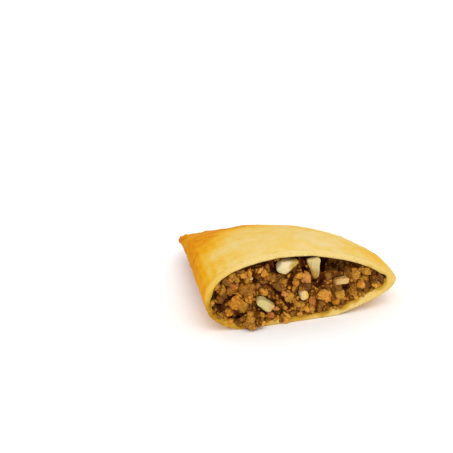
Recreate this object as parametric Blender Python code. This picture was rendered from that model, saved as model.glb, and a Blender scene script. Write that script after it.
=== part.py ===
"""Half of a baked meat pastel: a folded crust, open at the cut, round its meat filling.

The half-moon was folded over its filling, sealed along the round edge and cut across
the middle.  The half lies on its base.  Shapes are worked out in the pastel's own
coordinates, in metres: x runs along the cut from the fold to the sealed rim, y from
the cut back to the pinched corner, and z up from the ground.  place() moves them to
the part's frame, which has its origin under the middle of the half.
"""

import math
import random

import bmesh
import bpy
from mathutils import Euler, Matrix, Vector, noise

MM = 0.001

# Outline in plan.
WIDTH = 75.0 * MM            # along the cut, from the fold to the rim
DEPTH = 67.5 * MM            # from the cut back to the corner
FOLD_DIP = 2.4 * MM          # how far the fold line is drawn in on its way back
FOLD_FLARE = 1.2 * MM        # how far the corner flares out again
FOLD_FLARE_POWER = 7

# Heights.  The seam is the line between the top and the bottom crust.
SEAM_AT_CUT = 15.0 * MM      # at the fold; it is a little lower at the rim
SEAM_RIM_DROP = 2.2 * MM
SEAM_FALL = 5.3 * MM         # its fall on the way to the corner
SEAM_FALL_POWER = 1.6
CORNER_DROP = 2.3 * MM       # the corner itself droops further
CORNER_DROP_POWER = 12
TOP_RISE = 14.7 * MM         # top crust above the seam's own edge
BOTTOM_DROP = 14.5 * MM      # bottom crust below it, cut off by the flat base
EDGE_HALF = 2.2 * MM         # half the thickness of the fold and of the sealed edge
TOP_RISE_POWER = 0.61        # roundness of the top crust at the fold
TOP_FALL_POWER = 0.82        # and at the rim
BOTTOM_RISE_POWER = 0.45
BOTTOM_FALL_POWER = 0.73
BOTTOM_SQUARENESS = 3.2       # 2 falls off evenly to the corner, more stays low for longer
EDGE_BAND = 0.9 * MM         # flat width right at the rim
BASE_BLEND = 0.8 * MM        # soft change from the flat base to the bulging bottom

# Relief of the crust.
SEAL_BAND = 5.0 * MM         # width of the pressed rim
SEAL_GROOVE_DEPTH = 0.55 * MM
SEAL_GROOVE_WIDTH = 1.3 * MM
SEAL_FADE = 9.0 * MM         # the groove runs out this far from the fold
SEAL_BELOW = 0.6             # depth of the groove on the bottom, as a share of the top's
LUMP_HEIGHT = 0.45 * MM
LUMP_LENGTH = 13.0 * MM
LUMP_FADE = 3.0 * MM         # lumps fade where the crust swells less than this
RIM_WAVE_HEIGHT = 0.5 * MM
RIM_WAVE_LENGTH = 17.0 * MM

# Dough and clearances.
DOUGH_TOP = 2.7 * MM
DOUGH_BOTTOM = 2.1 * MM
DOUGH_BOTTOM_AT_RIM = 3.6 * MM
DOUGH_UNEVEN = 0.25 * MM
DOUGH_UNEVEN_LENGTH = 9.0 * MM
THICKER_FROM = 0.55          # the bottom dough thickens between these shares of the width
THICKER_TO = 0.85
GAP = 0.35 * MM              # between neighbouring pieces
GAP_GROWTH = 3.0             # the hidden gap widens towards the corner
CLOSING_GAP = 1.6 * MM       # the space for the filling ends where it gets this low

# Mesh fineness.
CRUST_RINGS = 27
CRUST_COLUMNS = 22           # points from the fold to the rim, on each crust
LINE_POINTS = 70             # points of the lines that those are read from
SPACE_COLUMNS = 19
SPACE_END = 0.87             # share of the depth that the filling reaches
CORNER_TURN = 0.985          # the last ring, as a share of the quarter turn

# Filling.
CORE_RECESS = 3.4 * MM       # the core stands this far back from the cut
CRUMB_SIZES = [              # tries, least and largest radius, from coarse to fine
    (900, 2.9 * MM, 3.7 * MM),
    (1500, 2.0 * MM, 2.7 * MM),
    (300, 1.3 * MM, 1.8 * MM),
]
CRUMB_PACKING = 0.66         # least distance of two crumbs, as a share of their radii
CRUMB_FRONT = (-0.8 * MM, 1.4 * MM)      # where a crumb's front lies, behind the cut
FLOOR_FRONT = (-1.3 * MM, -0.2 * MM)     # the same for crumbs on the lower dough
FLOOR_REACH = 3.0 * MM
ROUND_CRUMB = 2.6 * MM       # crumbs below this radius have fewer faces
HOLLOW_CENTRE = (50.5 * MM, -1.5 * MM, 25.5 * MM)
HOLLOW_RADII = (12.0 * MM, 16.0 * MM, 10.0 * MM)
HOLLOW_CRUMB_RADIUS = (2.2 * MM, 3.3 * MM)
HOLLOW_RINGS = [(-0.95, 5), (-0.6, 7), (-0.2, 6), (0.2, 5)]   # level and crumbs on it
WALL_MARGIN = 0.3            # least way of a crumb's middle to the dough, in radii
SEED = 12

# Crumbs that have rolled over the lower edge of the crust: x, y, z and radius.
SPILLED_CRUMBS = [
    (16.5 * MM, 0.0 * MM, 5.4 * MM, 2.3 * MM),
    (16.3 * MM, -2.1 * MM, 3.3 * MM, 1.7 * MM),
    (20.6 * MM, 0.0 * MM, 5.4 * MM, 2.3 * MM),
    (20.3 * MM, -2.2 * MM, 3.1 * MM, 1.8 * MM),
    (18.2 * MM, -2.1 * MM, 1.9 * MM, 1.6 * MM),
]

# Onion dice at the cut: centre x, z; length, height, depth; tilt in the cut; taper.
ONION_PIECES = [
    (32.4 * MM, 23.5 * MM, 8.4 * MM, 5.4 * MM, 5.0 * MM, -6.0, 0.72),
    (43.0 * MM, 21.7 * MM, 5.0 * MM, 8.6 * MM, 4.4 * MM, 6.0, 0.50),
    (38.7 * MM, 10.9 * MM, 3.4 * MM, 3.9 * MM, 3.6 * MM, 4.0, 0.85),
    (23.4 * MM, 9.0 * MM, 8.0 * MM, 4.4 * MM, 4.2 * MM, -24.0, 0.75),
    (53.3 * MM, 14.6 * MM, 6.4 * MM, 2.8 * MM, 3.4 * MM, 4.0, 0.85),
]
ONION_FRONT = -0.7 * MM      # the dice stand a little out of the cut
ONION_BEVEL = 0.7 * MM
ONION_SKEW = 0.12            # how far a dice's corners stray, as a share of its sides
ONION_REACH = 7.0 * MM       # crumbs nearer to the cut than this make way for the dice

# Middle of the half in plan, which becomes the frame's origin.
MIDDLE = Vector((37.5 * MM, 31.8 * MM, 0.0))


# ---------------------------------------------------------------- crust form

def fold_x(share):
    """The fold line's x at a share of the depth."""
    return FOLD_DIP * share ** 2 - FOLD_FLARE * share ** FOLD_FLARE_POWER


def rim_x(share):
    """The rim's x at a share of the depth: a quarter ellipse to the corner."""
    corner = fold_x(1.0)
    return corner + (WIDTH - corner) * math.sqrt(max(0.0, 1.0 - share ** 2))


def seam_z(x, share):
    """Height of the seam, which sinks towards the corner and ripples a little."""
    height = SEAM_AT_CUT - SEAM_RIM_DROP * x / WIDTH * (1.0 - share)
    height -= SEAM_FALL * share ** SEAM_FALL_POWER + CORNER_DROP * share ** CORNER_DROP_POWER
    ripple = noise.noise(Vector((x, share * DEPTH, 0.05)) / RIM_WAVE_LENGTH)
    return height + RIM_WAVE_HEIGHT * ripple


def swell(fold_gap, rim_share, rise, fall):
    """Bulge from 0 at the fold and the rim to 1 between them."""
    peak = rise / (rise + fall)
    scale = peak ** rise * (1.0 - peak) ** fall
    return (fold_gap / WIDTH) ** rise * rim_share ** fall / scale


def settle(z):
    """Lay what would sink below the ground flat on it, with a soft change."""
    if z <= -BASE_BLEND:
        return 0.0
    if z >= BASE_BLEND:
        return z
    return (z + BASE_BLEND) ** 2 / (4.0 * BASE_BLEND)


def crust_heights(x, y):
    """Top and bottom height of the closed crust at a point in plan."""
    share = y / DEPTH
    corner = fold_x(1.0)
    fold_gap = max(0.0, x - fold_x(share))
    across = max(0.0, x - corner)
    to_rim = WIDTH - corner
    rim_gap = max(0.0, 1.0 - math.hypot(across / to_rim, share)) * WIDTH

    span_x = across / (to_rim - EDGE_BAND)
    span_y = y / (DEPTH - EDGE_BAND)
    top_share = max(0.0, 1.0 - math.hypot(span_x, span_y))
    both = (span_x ** BOTTOM_SQUARENESS + span_y ** BOTTOM_SQUARENESS) ** (1.0 / BOTTOM_SQUARENESS)
    bottom_share = max(0.0, 1.0 - both)
    top = TOP_RISE * swell(fold_gap, top_share, TOP_RISE_POWER, TOP_FALL_POWER)
    bottom = BOTTOM_DROP * swell(fold_gap, bottom_share, BOTTOM_RISE_POWER, BOTTOM_FALL_POWER)

    inwards = min(1.0, min(fold_gap, rim_gap) / EDGE_HALF)
    edge = EDGE_HALF * math.sqrt(max(0.0, 1.0 - (1.0 - inwards) ** 2))

    groove = SEAL_GROOVE_DEPTH * math.exp(-((rim_gap - SEAL_BAND) / SEAL_GROOVE_WIDTH) ** 2)
    groove *= min(1.0, fold_gap / SEAL_FADE)
    here = Vector((x, y, 0.0)) / LUMP_LENGTH
    lump = LUMP_HEIGHT * noise.noise(here) * min(1.0, top / LUMP_FADE)
    below = here + Vector((0.0, 0.0, 5.0))
    dent = LUMP_HEIGHT * noise.noise(below) * min(1.0, bottom / LUMP_FADE)

    seam = seam_z(x, share)
    upper = seam + edge + top + lump - groove
    lower = seam - edge - bottom + dent + SEAL_BELOW * groove
    return upper, settle(lower)


def ring_depths(count, turn):
    """Depths of the rings, evenly spread round the corner's quarter turn."""
    return [DEPTH * math.sin(0.5 * math.pi * turn * i / (count - 1)) for i in range(count)]


def crust_section(y):
    """Top and bottom lines of the crust at depth y, each from the fold to the rim."""
    share = y / DEPTH
    start = fold_x(share)
    width = rim_x(share) - start
    top = []
    bottom = []
    for i in range(LINE_POINTS):
        x = start + width * 0.5 * (1.0 - math.cos(math.pi * i / (LINE_POINTS - 1)))
        upper, lower = crust_heights(x, y)
        if i in (0, LINE_POINTS - 1):
            upper = lower = seam_z(x, share)
        top.append((x, upper))
        bottom.append((x, lower))
    return top, bottom


def dough_thickness(x, y, upper):
    """Thickness of the dough, uneven and thicker below towards the rim."""
    side = 10.0 * MM if upper else 30.0 * MM
    uneven = DOUGH_UNEVEN * noise.noise(Vector((x, y, side)) / DOUGH_UNEVEN_LENGTH)
    if upper:
        return DOUGH_TOP + uneven
    near_rim = max(0.0, min(1.0, (x / WIDTH - THICKER_FROM) / (THICKER_TO - THICKER_FROM)))
    return DOUGH_BOTTOM + (DOUGH_BOTTOM_AT_RIM - DOUGH_BOTTOM) * near_rim + uneven


def inset_line(line, y, upper, extra):
    """A section line moved into the dough by its thickness and an extra distance."""
    moved = []
    for i, (x, z) in enumerate(line):
        before = line[max(0, i - 1)]
        after = line[min(len(line) - 1, i + 1)]
        along = Vector((after[0] - before[0], after[1] - before[1])).normalized()
        if i == 0:
            inwards = Vector((1.0, 0.0))
        elif upper:
            inwards = Vector((along.y, -along.x))
        else:
            inwards = Vector((-along.y, along.x))
        distance = dough_thickness(x, y, upper) + extra
        moved.append((x + inwards.x * distance, z + inwards.y * distance))
    first = moved[0]
    rising = [first]
    for point in moved[1:]:
        if point[0] > rising[-1][0] + 0.02 * MM:
            rising.append(point)
    return rising


def height_on(line, x):
    """Height of a line at x, on its straight stretch there."""
    for (x0, z0), (x1, z1) in zip(line, line[1:]):
        if x <= x1:
            return z0 + (z1 - z0) * (x - x0) / (x1 - x0)
    return line[-1][1]


def cut_line(line, end):
    """The part of a line up to x = end."""
    kept = [point for point in line if point[0] < end - 0.01 * MM]
    kept.append((end, height_on(line, end)))
    return kept


def spread(line, count):
    """count points spread over a line's length, closer together at both ends."""
    lengths = [0.0]
    for (x0, z0), (x1, z1) in zip(line, line[1:]):
        lengths.append(lengths[-1] + math.hypot(x1 - x0, z1 - z0))
    points = []
    for i in range(count):
        target = lengths[-1] * 0.5 * (1.0 - math.cos(math.pi * i / (count - 1)))
        step = 1
        while step < len(line) - 1 and lengths[step] < target:
            step += 1
        run = (target - lengths[step - 1]) / (lengths[step] - lengths[step - 1])
        (x0, z0), (x1, z1) = line[step - 1], line[step]
        points.append((x0 + (x1 - x0) * run, z0 + (z1 - z0) * run))
    return points


def space_lines(y, extra):
    """Top and bottom lines of the space inside the dough at depth y."""
    top_line, bottom_line = crust_section(y)
    top = inset_line(top_line, y, True, extra)
    bottom = inset_line(bottom_line, y, False, extra)
    start = max(top[0][0], bottom[0][0])
    stop = min(top[-1][0], bottom[-1][0])

    def gap(x):
        return height_on(top, x) - height_on(bottom, x)

    least = CLOSING_GAP - 2.0 * extra
    if gap(stop) < least:
        start = max((start + (stop - start) * i / 40.0 for i in range(40)), key=gap)
        for _ in range(30):
            middle = 0.5 * (start + stop)
            if gap(middle) < least:
                stop = middle
            else:
                start = middle
    return cut_line(top, stop), cut_line(bottom, stop)


def inside_space(x, y, z, margin):
    """Whether a point lies in the space for the filling, clear of the dough by margin."""
    top, bottom = space_lines(max(0.0, y), GAP)
    if x < top[0][0] + margin or x > top[-1][0] - 0.6 * margin:
        return False
    return height_on(bottom, x) + margin < z < height_on(top, x) - margin


# ---------------------------------------------------------------- mesh helpers

def place(x, y, z):
    """A point of the pastel's own coordinates in the part's frame."""
    return Vector((x, y, z)) - MIDDLE


def loft(mesh, rings):
    """Skin over closed rings of equal length, with a face at each end."""
    rows = [[mesh.verts.new(place(*point)) for point in ring] for ring in rings]
    count = len(rows[0])
    for near, far in zip(rows, rows[1:]):
        for i in range(count):
            j = (i + 1) % count
            mesh.faces.new((near[i], near[j], far[j], far[i]))
    mesh.faces.new(rows[0])
    mesh.faces.new(rows[-1])
    bmesh.ops.recalc_face_normals(mesh, faces=mesh.faces)


def new_object(name, mesh, material=None, collection=None):
    """An object in the scene from a bmesh."""
    data = bpy.data.meshes.new(name)
    mesh.to_mesh(data)
    mesh.free()
    if material:
        data.materials.append(material)
    thing = bpy.data.objects.new(name, data)
    (collection or bpy.context.scene.collection).objects.link(thing)
    return thing


def new_collection(name):
    """An empty collection under the scene."""
    group = bpy.data.collections.new(name)
    bpy.context.scene.collection.children.link(group)
    return group


def new_material(name, colour, roughness):
    """A plain material of one colour."""
    material = bpy.data.materials.new(name)
    material.use_nodes = True
    shader = material.node_tree.nodes["Principled BSDF"]
    shader.inputs["Base Color"].default_value = (*colour, 1.0)
    shader.inputs["Roughness"].default_value = roughness
    shader.inputs["Metallic"].default_value = 0.0
    return material


def as_guide(thing):
    """Mark an object as a cutter that isn't part of the model."""
    thing.hide_render = True
    thing.display_type = 'WIRE'


def apply_modifiers(thing):
    """Replace an object's mesh with the one its modifiers make."""
    bpy.context.view_layer.update()
    evaluated = thing.evaluated_get(bpy.context.evaluated_depsgraph_get())
    made = bpy.data.meshes.new_from_object(evaluated)
    thing.modifiers.clear()
    thing.data = made


def combine(thing, operation, group):
    """Join or cut an object with a collection, whose objects are then removed."""
    step = thing.modifiers.new(operation, 'BOOLEAN')
    step.operation = operation
    step.solver = 'MANIFOLD'
    step.operand_type = 'COLLECTION'
    step.collection = group
    apply_modifiers(thing)
    for other in list(group.objects):
        bpy.data.objects.remove(other)
    bpy.data.collections.remove(group)


def keep_largest_shell(thing):
    """Drop loose scraps and fill sealed hollows: only the largest shell stays."""
    mesh = bmesh.new()
    mesh.from_mesh(thing.data)
    shells = []
    seen = set()
    for seed in mesh.faces:
        if seed in seen:
            continue
        seen.add(seed)
        shell = [seed]
        for face in shell:
            for edge in face.edges:
                for other in edge.link_faces:
                    if other not in seen:
                        seen.add(other)
                        shell.append(other)
        shells.append(shell)
    shells.sort(key=len)
    for shell in shells[:-1]:
        bmesh.ops.delete(mesh, geom=shell, context='FACES')
    mesh.to_mesh(thing.data)
    mesh.free()


# ---------------------------------------------------------------- pieces

def make_crust(material):
    """The crust: a closed pillow with the filling's space cut out of it."""
    outer = bmesh.new()
    rings = []
    for y in ring_depths(CRUST_RINGS, CORNER_TURN):
        top, bottom = crust_section(y)
        line = spread(top, CRUST_COLUMNS) + spread(bottom, CRUST_COLUMNS)[-2:0:-1]
        rings.append([(x, y, z) for x, z in line])
    loft(outer, rings)
    crust = new_object("crust", outer, material)
    crust.data.shade_smooth()
    crust.data.set_sharp_from_angle(angle=math.radians(40.0))

    space = new_object("filling_space", space_mesh(-2.0 * MM, 0.0, SPACE_END))
    as_guide(space)
    cut = crust.modifiers.new("open at the cut", 'BOOLEAN')
    cut.operation = 'DIFFERENCE'
    cut.object = space
    return crust


def space_mesh(front, extra, end):
    """The space inside the dough, drawn in by an extra distance, from y = front."""
    depths = [y for y in ring_depths(CRUST_RINGS, 1.0) if max(front, 0.0) + MM < y < end * DEPTH - MM]
    depths = [max(front, 0.0)] + depths + [end * DEPTH]
    rings = []
    if front < 0.0:
        rings.append(space_ring(0.0, extra, front))
    rings += [space_ring(y, extra * (1.0 + GAP_GROWTH * y / DEPTH), y) for y in depths]
    mesh = bmesh.new()
    loft(mesh, rings)
    return mesh


def space_ring(y, extra, shown_y):
    """One closed ring of the space at depth y, set at shown_y."""
    top, bottom = space_lines(y, extra)
    line = spread(top, SPACE_COLUMNS) + spread(bottom, SPACE_COLUMNS)[::-1]
    low = line[-1]
    high = line[0]
    line[0] = (high[0], max(high[1], low[1] + 0.1 * MM))
    line[-1] = (low[0], min(low[1], line[0][1] - 0.1 * MM))
    return [(x, shown_y, z) for x, z in line]


def add_crumb(group, draws, centre, radius, fineness=2):
    """An irregular crumb of cooked mince."""
    mesh = bmesh.new()
    bmesh.ops.create_icosphere(mesh, subdivisions=fineness, radius=radius)
    offset = Vector([draws.uniform(0.0, 50.0) for _ in range(3)])
    for vert in mesh.verts:
        bump = noise.noise(vert.co / radius * 1.3 + offset)
        vert.co *= 0.97 + 0.40 * bump
    stretch = Matrix.Diagonal((draws.uniform(0.85, 1.2), draws.uniform(0.8, 1.0), draws.uniform(0.75, 1.05)))
    turn = Euler([draws.uniform(-0.5, 0.5) for _ in range(3)]).to_matrix()
    bmesh.ops.transform(mesh, matrix=(turn @ stretch).to_4x4(), verts=mesh.verts)
    bmesh.ops.translate(mesh, vec=place(*centre), verts=mesh.verts)
    new_object("crumb", mesh, collection=group)


def in_hollow(x, y, z, grow):
    """Whether a point lies in the hollow under the top crust, grown by a distance."""
    parts = zip((x, y, z), HOLLOW_CENTRE, HOLLOW_RADII)
    return sum(((a - c) / (r + grow)) ** 2 for a, c, r in parts) < 1.0


def near_onion(x, z, grow):
    """Whether a point of the cut lies on an onion piece, grown by a distance."""
    for cx, cz, length, height, _, tilt, _ in ONION_PIECES:
        angle = math.radians(tilt)
        along = (x - cx) * math.cos(angle) + (z - cz) * math.sin(angle)
        across = (z - cz) * math.cos(angle) - (x - cx) * math.sin(angle)
        if abs(along) < 0.5 * length + grow and abs(across) < 0.5 * height + grow:
            return True
    return False


def crumbs_at_the_cut(group, draws):
    """Crumbs strewn over the whole cut, the large ones first."""
    taken = []
    floor = space_lines(0.0, GAP)[1]
    for tries, least, largest in CRUMB_SIZES:
        for _ in range(tries):
            x = draws.uniform(0.0, WIDTH)
            z = draws.uniform(0.0, 30.0 * MM)
            radius = draws.uniform(least, largest)
            near_floor = z - height_on(floor, x) < FLOOR_REACH
            y = radius + draws.uniform(*(FLOOR_FRONT if near_floor else CRUMB_FRONT))
            if near_onion(x, z, 0.0) or in_hollow(x, 0.0, z, 0.3 * radius):
                continue
            if any(math.hypot(x - a, z - b) < CRUMB_PACKING * (radius + r) for a, b, r in taken):
                continue
            if inside_space(x, y, z, WALL_MARGIN * radius):
                taken.append((x, z, radius))
                add_crumb(group, draws, (x, y, z), radius, 2 if radius > ROUND_CRUMB else 1)


def crumbs_in_the_hollow(group, draws):
    """Crumbs over the hollow's floor and back."""
    for level, around in HOLLOW_RINGS:
        for i in range(around):
            turn = math.pi * (i + 0.5 + draws.uniform(-0.25, 0.25)) / around
            flat = math.sqrt(1.0 - level ** 2)
            x = HOLLOW_CENTRE[0] + HOLLOW_RADII[0] * flat * math.cos(turn)
            y = HOLLOW_CENTRE[1] + HOLLOW_RADII[1] * flat * math.sin(turn)
            z = HOLLOW_CENTRE[2] + HOLLOW_RADII[2] * level
            radius = draws.uniform(*HOLLOW_CRUMB_RADIUS)
            y = max(y, 0.8 * radius)
            behind_onion = near_onion(x, z, 0.0) and y < ONION_REACH
            if inside_space(x, y, z, WALL_MARGIN * radius) and not behind_onion:
                add_crumb(group, draws, (x, y, z), radius)


def hollow_mesh():
    """The hollow that is left between the filling and the top crust."""
    mesh = bmesh.new()
    bmesh.ops.create_uvsphere(mesh, u_segments=16, v_segments=10, radius=1.0)
    bmesh.ops.scale(mesh, vec=HOLLOW_RADII, verts=mesh.verts)
    bmesh.ops.translate(mesh, vec=place(*HOLLOW_CENTRE), verts=mesh.verts)
    return mesh


def onion_mesh(piece, draws, grow):
    """A bevelled dice of onion, narrower at its lower end, grown by a distance."""
    cx, cz, length, height, depth, tilt, taper = piece
    mesh = bmesh.new()
    bmesh.ops.create_cube(mesh, size=1.0)
    for vert in mesh.verts:
        narrow = taper if vert.co.z < 0.0 else 1.0
        skew = Vector([draws.uniform(-ONION_SKEW, ONION_SKEW) for _ in range(3)])
        vert.co += skew
        vert.co.x *= narrow * (length + 2.0 * grow)
        vert.co.y *= depth + 2.0 * grow
        vert.co.z *= height + 2.0 * grow
    bmesh.ops.bevel(mesh, geom=mesh.edges[:], offset=ONION_BEVEL, offset_type='OFFSET', segments=2,
                    profile=0.5, affect='EDGES', material=-1)
    turn = Matrix.Rotation(math.radians(-tilt), 4, 'Y')
    bmesh.ops.transform(mesh, matrix=turn, verts=mesh.verts)
    middle = place(cx, ONION_FRONT + 0.5 * depth, cz)
    bmesh.ops.translate(mesh, vec=middle, verts=mesh.verts)
    bmesh.ops.recalc_face_normals(mesh, faces=mesh.faces)
    return mesh


def make_onion_pieces(material):
    """The dice of onion that show at the cut."""
    for number, piece in enumerate(ONION_PIECES, 1):
        mesh = onion_mesh(piece, random.Random(number), 0.0)
        thing = new_object(f"onion_piece_{number}", mesh, material)
        thing.data.shade_smooth()
        thing.data.set_sharp_from_angle(angle=math.radians(50.0))


def make_filling(material):
    """The filling: a core as deep as the crust's space, with crumbs fused on at the cut."""
    draws = random.Random(SEED)
    core = space_mesh(CORE_RECESS, GAP, SPACE_END - 0.02)
    filling = new_object("meat_filling", core, material)

    hollow = new_collection("hollow")
    new_object("hollow", hollow_mesh(), collection=hollow)
    combine(filling, 'DIFFERENCE', hollow)

    crumbs = new_collection("crumbs")
    crumbs_at_the_cut(crumbs, draws)
    crumbs_in_the_hollow(crumbs, draws)
    combine(filling, 'UNION', crumbs)

    limit = new_collection("limit")
    new_object("limit", space_mesh(-2.0 * MM, GAP, SPACE_END - 0.01), collection=limit)
    combine(filling, 'INTERSECT', limit)

    spilled = new_collection("spilled")
    for x, y, z, radius in SPILLED_CRUMBS:
        add_crumb(spilled, draws, (x, y, z), radius)
    combine(filling, 'UNION', spilled)

    room = new_collection("onion_room")
    for number, piece in enumerate(ONION_PIECES, 1):
        new_object("room", onion_mesh(piece, random.Random(number), GAP), collection=room)
    combine(filling, 'DIFFERENCE', room)
    keep_largest_shell(filling)
    filling.data.shade_smooth()
    filling.data.set_sharp_from_angle(angle=math.radians(35.0))


def main():
    """Build the half."""
    for thing in list(bpy.data.objects):
        bpy.data.objects.remove(thing)
    make_crust(new_material("baked_dough", (0.86, 0.58, 0.20), 0.55))
    make_filling(new_material("cooked_mince", (0.22, 0.09, 0.03), 0.60))
    make_onion_pieces(new_material("onion", (0.82, 0.76, 0.50), 0.45))


main()
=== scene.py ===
"""The looks of half a baked meat pastel that was cut across the middle.

Three sub-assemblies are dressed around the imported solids: the folded crust, the minced filling
in its hollow and the dice of onion at the cut. Lengths are in metres, written as millimetres
times MM. +X runs along the cut from the fold to the sealed rim, +Y from the cut back to the
pinched corner and +Z up. The cut faces -Y.
"""

import functools
import logging
import math
import random
from collections.abc import Iterable, Sequence
from dataclasses import dataclass, field
from enum import Enum, IntEnum
from typing import Any

import bmesh
import bpy
import numpy as np
from mathutils import Matrix, Vector, noise
from mathutils.bvhtree import BVHTree


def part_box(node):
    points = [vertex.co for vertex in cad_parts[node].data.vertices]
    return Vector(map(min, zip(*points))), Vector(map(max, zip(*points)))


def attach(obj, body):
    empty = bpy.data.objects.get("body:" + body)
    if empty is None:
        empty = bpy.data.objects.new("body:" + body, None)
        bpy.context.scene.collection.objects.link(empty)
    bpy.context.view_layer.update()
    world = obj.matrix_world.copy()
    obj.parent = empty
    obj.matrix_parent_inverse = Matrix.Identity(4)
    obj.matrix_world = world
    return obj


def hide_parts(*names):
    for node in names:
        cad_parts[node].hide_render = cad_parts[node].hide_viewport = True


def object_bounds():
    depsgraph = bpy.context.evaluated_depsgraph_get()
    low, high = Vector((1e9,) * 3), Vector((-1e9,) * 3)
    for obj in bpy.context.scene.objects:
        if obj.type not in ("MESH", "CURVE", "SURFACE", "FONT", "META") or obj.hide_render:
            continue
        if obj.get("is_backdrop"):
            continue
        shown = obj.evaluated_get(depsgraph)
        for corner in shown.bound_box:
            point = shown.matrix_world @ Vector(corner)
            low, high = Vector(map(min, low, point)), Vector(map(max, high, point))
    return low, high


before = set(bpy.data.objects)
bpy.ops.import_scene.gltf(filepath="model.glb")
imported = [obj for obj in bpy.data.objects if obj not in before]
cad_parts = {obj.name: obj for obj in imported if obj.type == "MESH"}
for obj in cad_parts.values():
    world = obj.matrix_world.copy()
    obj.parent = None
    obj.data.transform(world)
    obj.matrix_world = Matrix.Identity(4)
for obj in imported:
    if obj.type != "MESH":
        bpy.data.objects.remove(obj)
CAD_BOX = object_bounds()

Colour = tuple[float, float, float]
Span = tuple[float, float]

MM = 0.001
BODY = "root"
CRUST_NODE = "crust"
FILLING_NODE = "meat_filling"
ONION_NODES = sorted(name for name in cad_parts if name.startswith("onion_piece"))
CUT_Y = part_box(CRUST_NODE)[0].y
MERGE = 0.001 * MM
CUT_TOLERANCE = 0.01 * MM

log = logging.getLogger("pastel")


class Slot(Enum):
    """The record's material slots."""

    DOUGH = "baked_dough"
    MINCE = "cooked_mince"
    ONION = "onion"


# ---------------------------------------------------------------------------------------------
# Shader graphs
# ---------------------------------------------------------------------------------------------


def linear(colour: Colour) -> tuple[float, ...]:
    """Turns a display colour into the linear one that a shader takes.

    Args:
        colour: Red, green and blue from 0 to 255.

    Returns:
        The linear colour with an alpha of 1.
    """
    shares = [channel / 255 for channel in colour]
    return *(s / 12.92 if s <= 0.04045 else ((s + 0.055) / 1.055) ** 2.4 for s in shares), 1.0


class Effect(Enum):
    """The shared node groups."""

    BLOTCHES = "blotches"
    GRAIN = "grain"
    FRECKLES = "freckles"
    FIBRES = "fibres"


class Graph:
    """A shader node tree, written node by node from left to right."""

    def __init__(self, tree: bpy.types.NodeTree) -> None:
        """Takes the tree that the nodes are added to."""
        self.tree = tree

    def add(
        self, kind: str, inputs: dict[str | int, Any] | None = None, **settings: Any
    ) -> bpy.types.Node:
        """Adds a node.

        Args:
            kind: The node's class name.
            inputs: For each input, a value, or the output socket that feeds it.
            settings: The node's own properties.

        Returns:
            The new node.
        """
        node = self.tree.nodes.new(kind)
        for name, value in settings.items():
            setattr(node, name, value)
        self.feed(node, inputs or {})
        return node

    def feed(self, node: bpy.types.Node, inputs: dict[str | int, Any]) -> None:
        """Sets a node's inputs.

        Args:
            node: The node.
            inputs: For each input, a value, or the output socket that feeds it.
        """
        for name, value in inputs.items():
            if isinstance(value, bpy.types.NodeSocket):
                self.tree.links.new(value, node.inputs[name])
            else:
                node.inputs[name].default_value = value

    def maths(self, operation: str, *terms: Any, clamp: bool = False) -> bpy.types.NodeSocket:
        """Adds a Math node.

        Args:
            operation: What the node works out.
            terms: Its inputs in order, each a value or the output socket that feeds it.
            clamp: Whether the result is held between 0 and 1.

        Returns:
            The result's socket.
        """
        inputs = dict(enumerate(terms))
        node = self.add("ShaderNodeMath", inputs, operation=operation, use_clamp=clamp)
        return node.outputs[0]

    def remap(
        self, value: Any, low: Any, high: Any, start: float = 0.0, end: float = 1.0
    ) -> bpy.types.NodeSocket:
        """Eases a value from one range to another.

        Args:
            value: The socket that holds the value.
            low: The value that gives the start.
            high: The value that gives the end.
            start: The result's first value.
            end: The result's last value.

        Returns:
            The eased value, held between the start and the end.
        """
        inputs = {"Value": value, "From Min": low, "From Max": high, "To Min": start, "To Max": end}
        node = self.add("ShaderNodeMapRange", inputs, interpolation_type="SMOOTHSTEP")
        return node.outputs["Result"]

    def blend(self, share: Any, first: Any, second: Any) -> bpy.types.NodeSocket:
        """Mixes two colours by a share and returns the mix."""
        node = self.add("ShaderNodeMix", {0: share, 6: first, 7: second}, data_type="RGBA")
        return node.outputs[2]

    def ramp(self, value: Any, stops: Sequence[tuple[float, Colour]]) -> bpy.types.NodeSocket:
        """Runs a value through a colour ramp.

        Args:
            value: The socket that picks the colour, from 0 to 1.
            stops: Places from 0 to 1 with their display colours, in order.

        Returns:
            The colour socket.
        """
        node = self.add("ShaderNodeValToRGB", {"Fac": value})
        elements = node.color_ramp.elements
        elements[0].position, elements[-1].position = stops[0][0], stops[-1][0]
        for place, _ in stops[1:-1]:
            elements.new(place)
        for element, (_, colour) in zip(elements, stops):
            element.color = linear(colour)
        return node.outputs["Color"]

    def bump(self, height: Any, strength: float, distance: float) -> bpy.types.NodeSocket:
        """Adds a Bump node and returns its normal."""
        inputs = {"Height": height, "Strength": strength, "Distance": distance}
        return self.add("ShaderNodeBump", inputs).outputs["Normal"]

    def attribute(self, name: str) -> bpy.types.NodeSocket:
        """Reads a number that is stored at the mesh's points."""
        return self.add("ShaderNodeAttribute", attribute_name=name).outputs["Fac"]

    def place(self) -> bpy.types.NodeSocket:
        """Reads the object coordinates."""
        return self.add("ShaderNodeTexCoord").outputs["Object"]

    def effect(self, effect: Effect, place: Any, **numbers: float) -> bpy.types.NodeOutputs:
        """Adds a shared node group.

        Args:
            effect: Which group.
            place: The coordinates that it reads.
            numbers: Its number inputs, by name.

        Returns:
            The group's outputs.
        """
        inputs = {"Place": place, **numbers}
        return self.add("ShaderNodeGroup", inputs, node_tree=effect_tree(effect)).outputs


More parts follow.
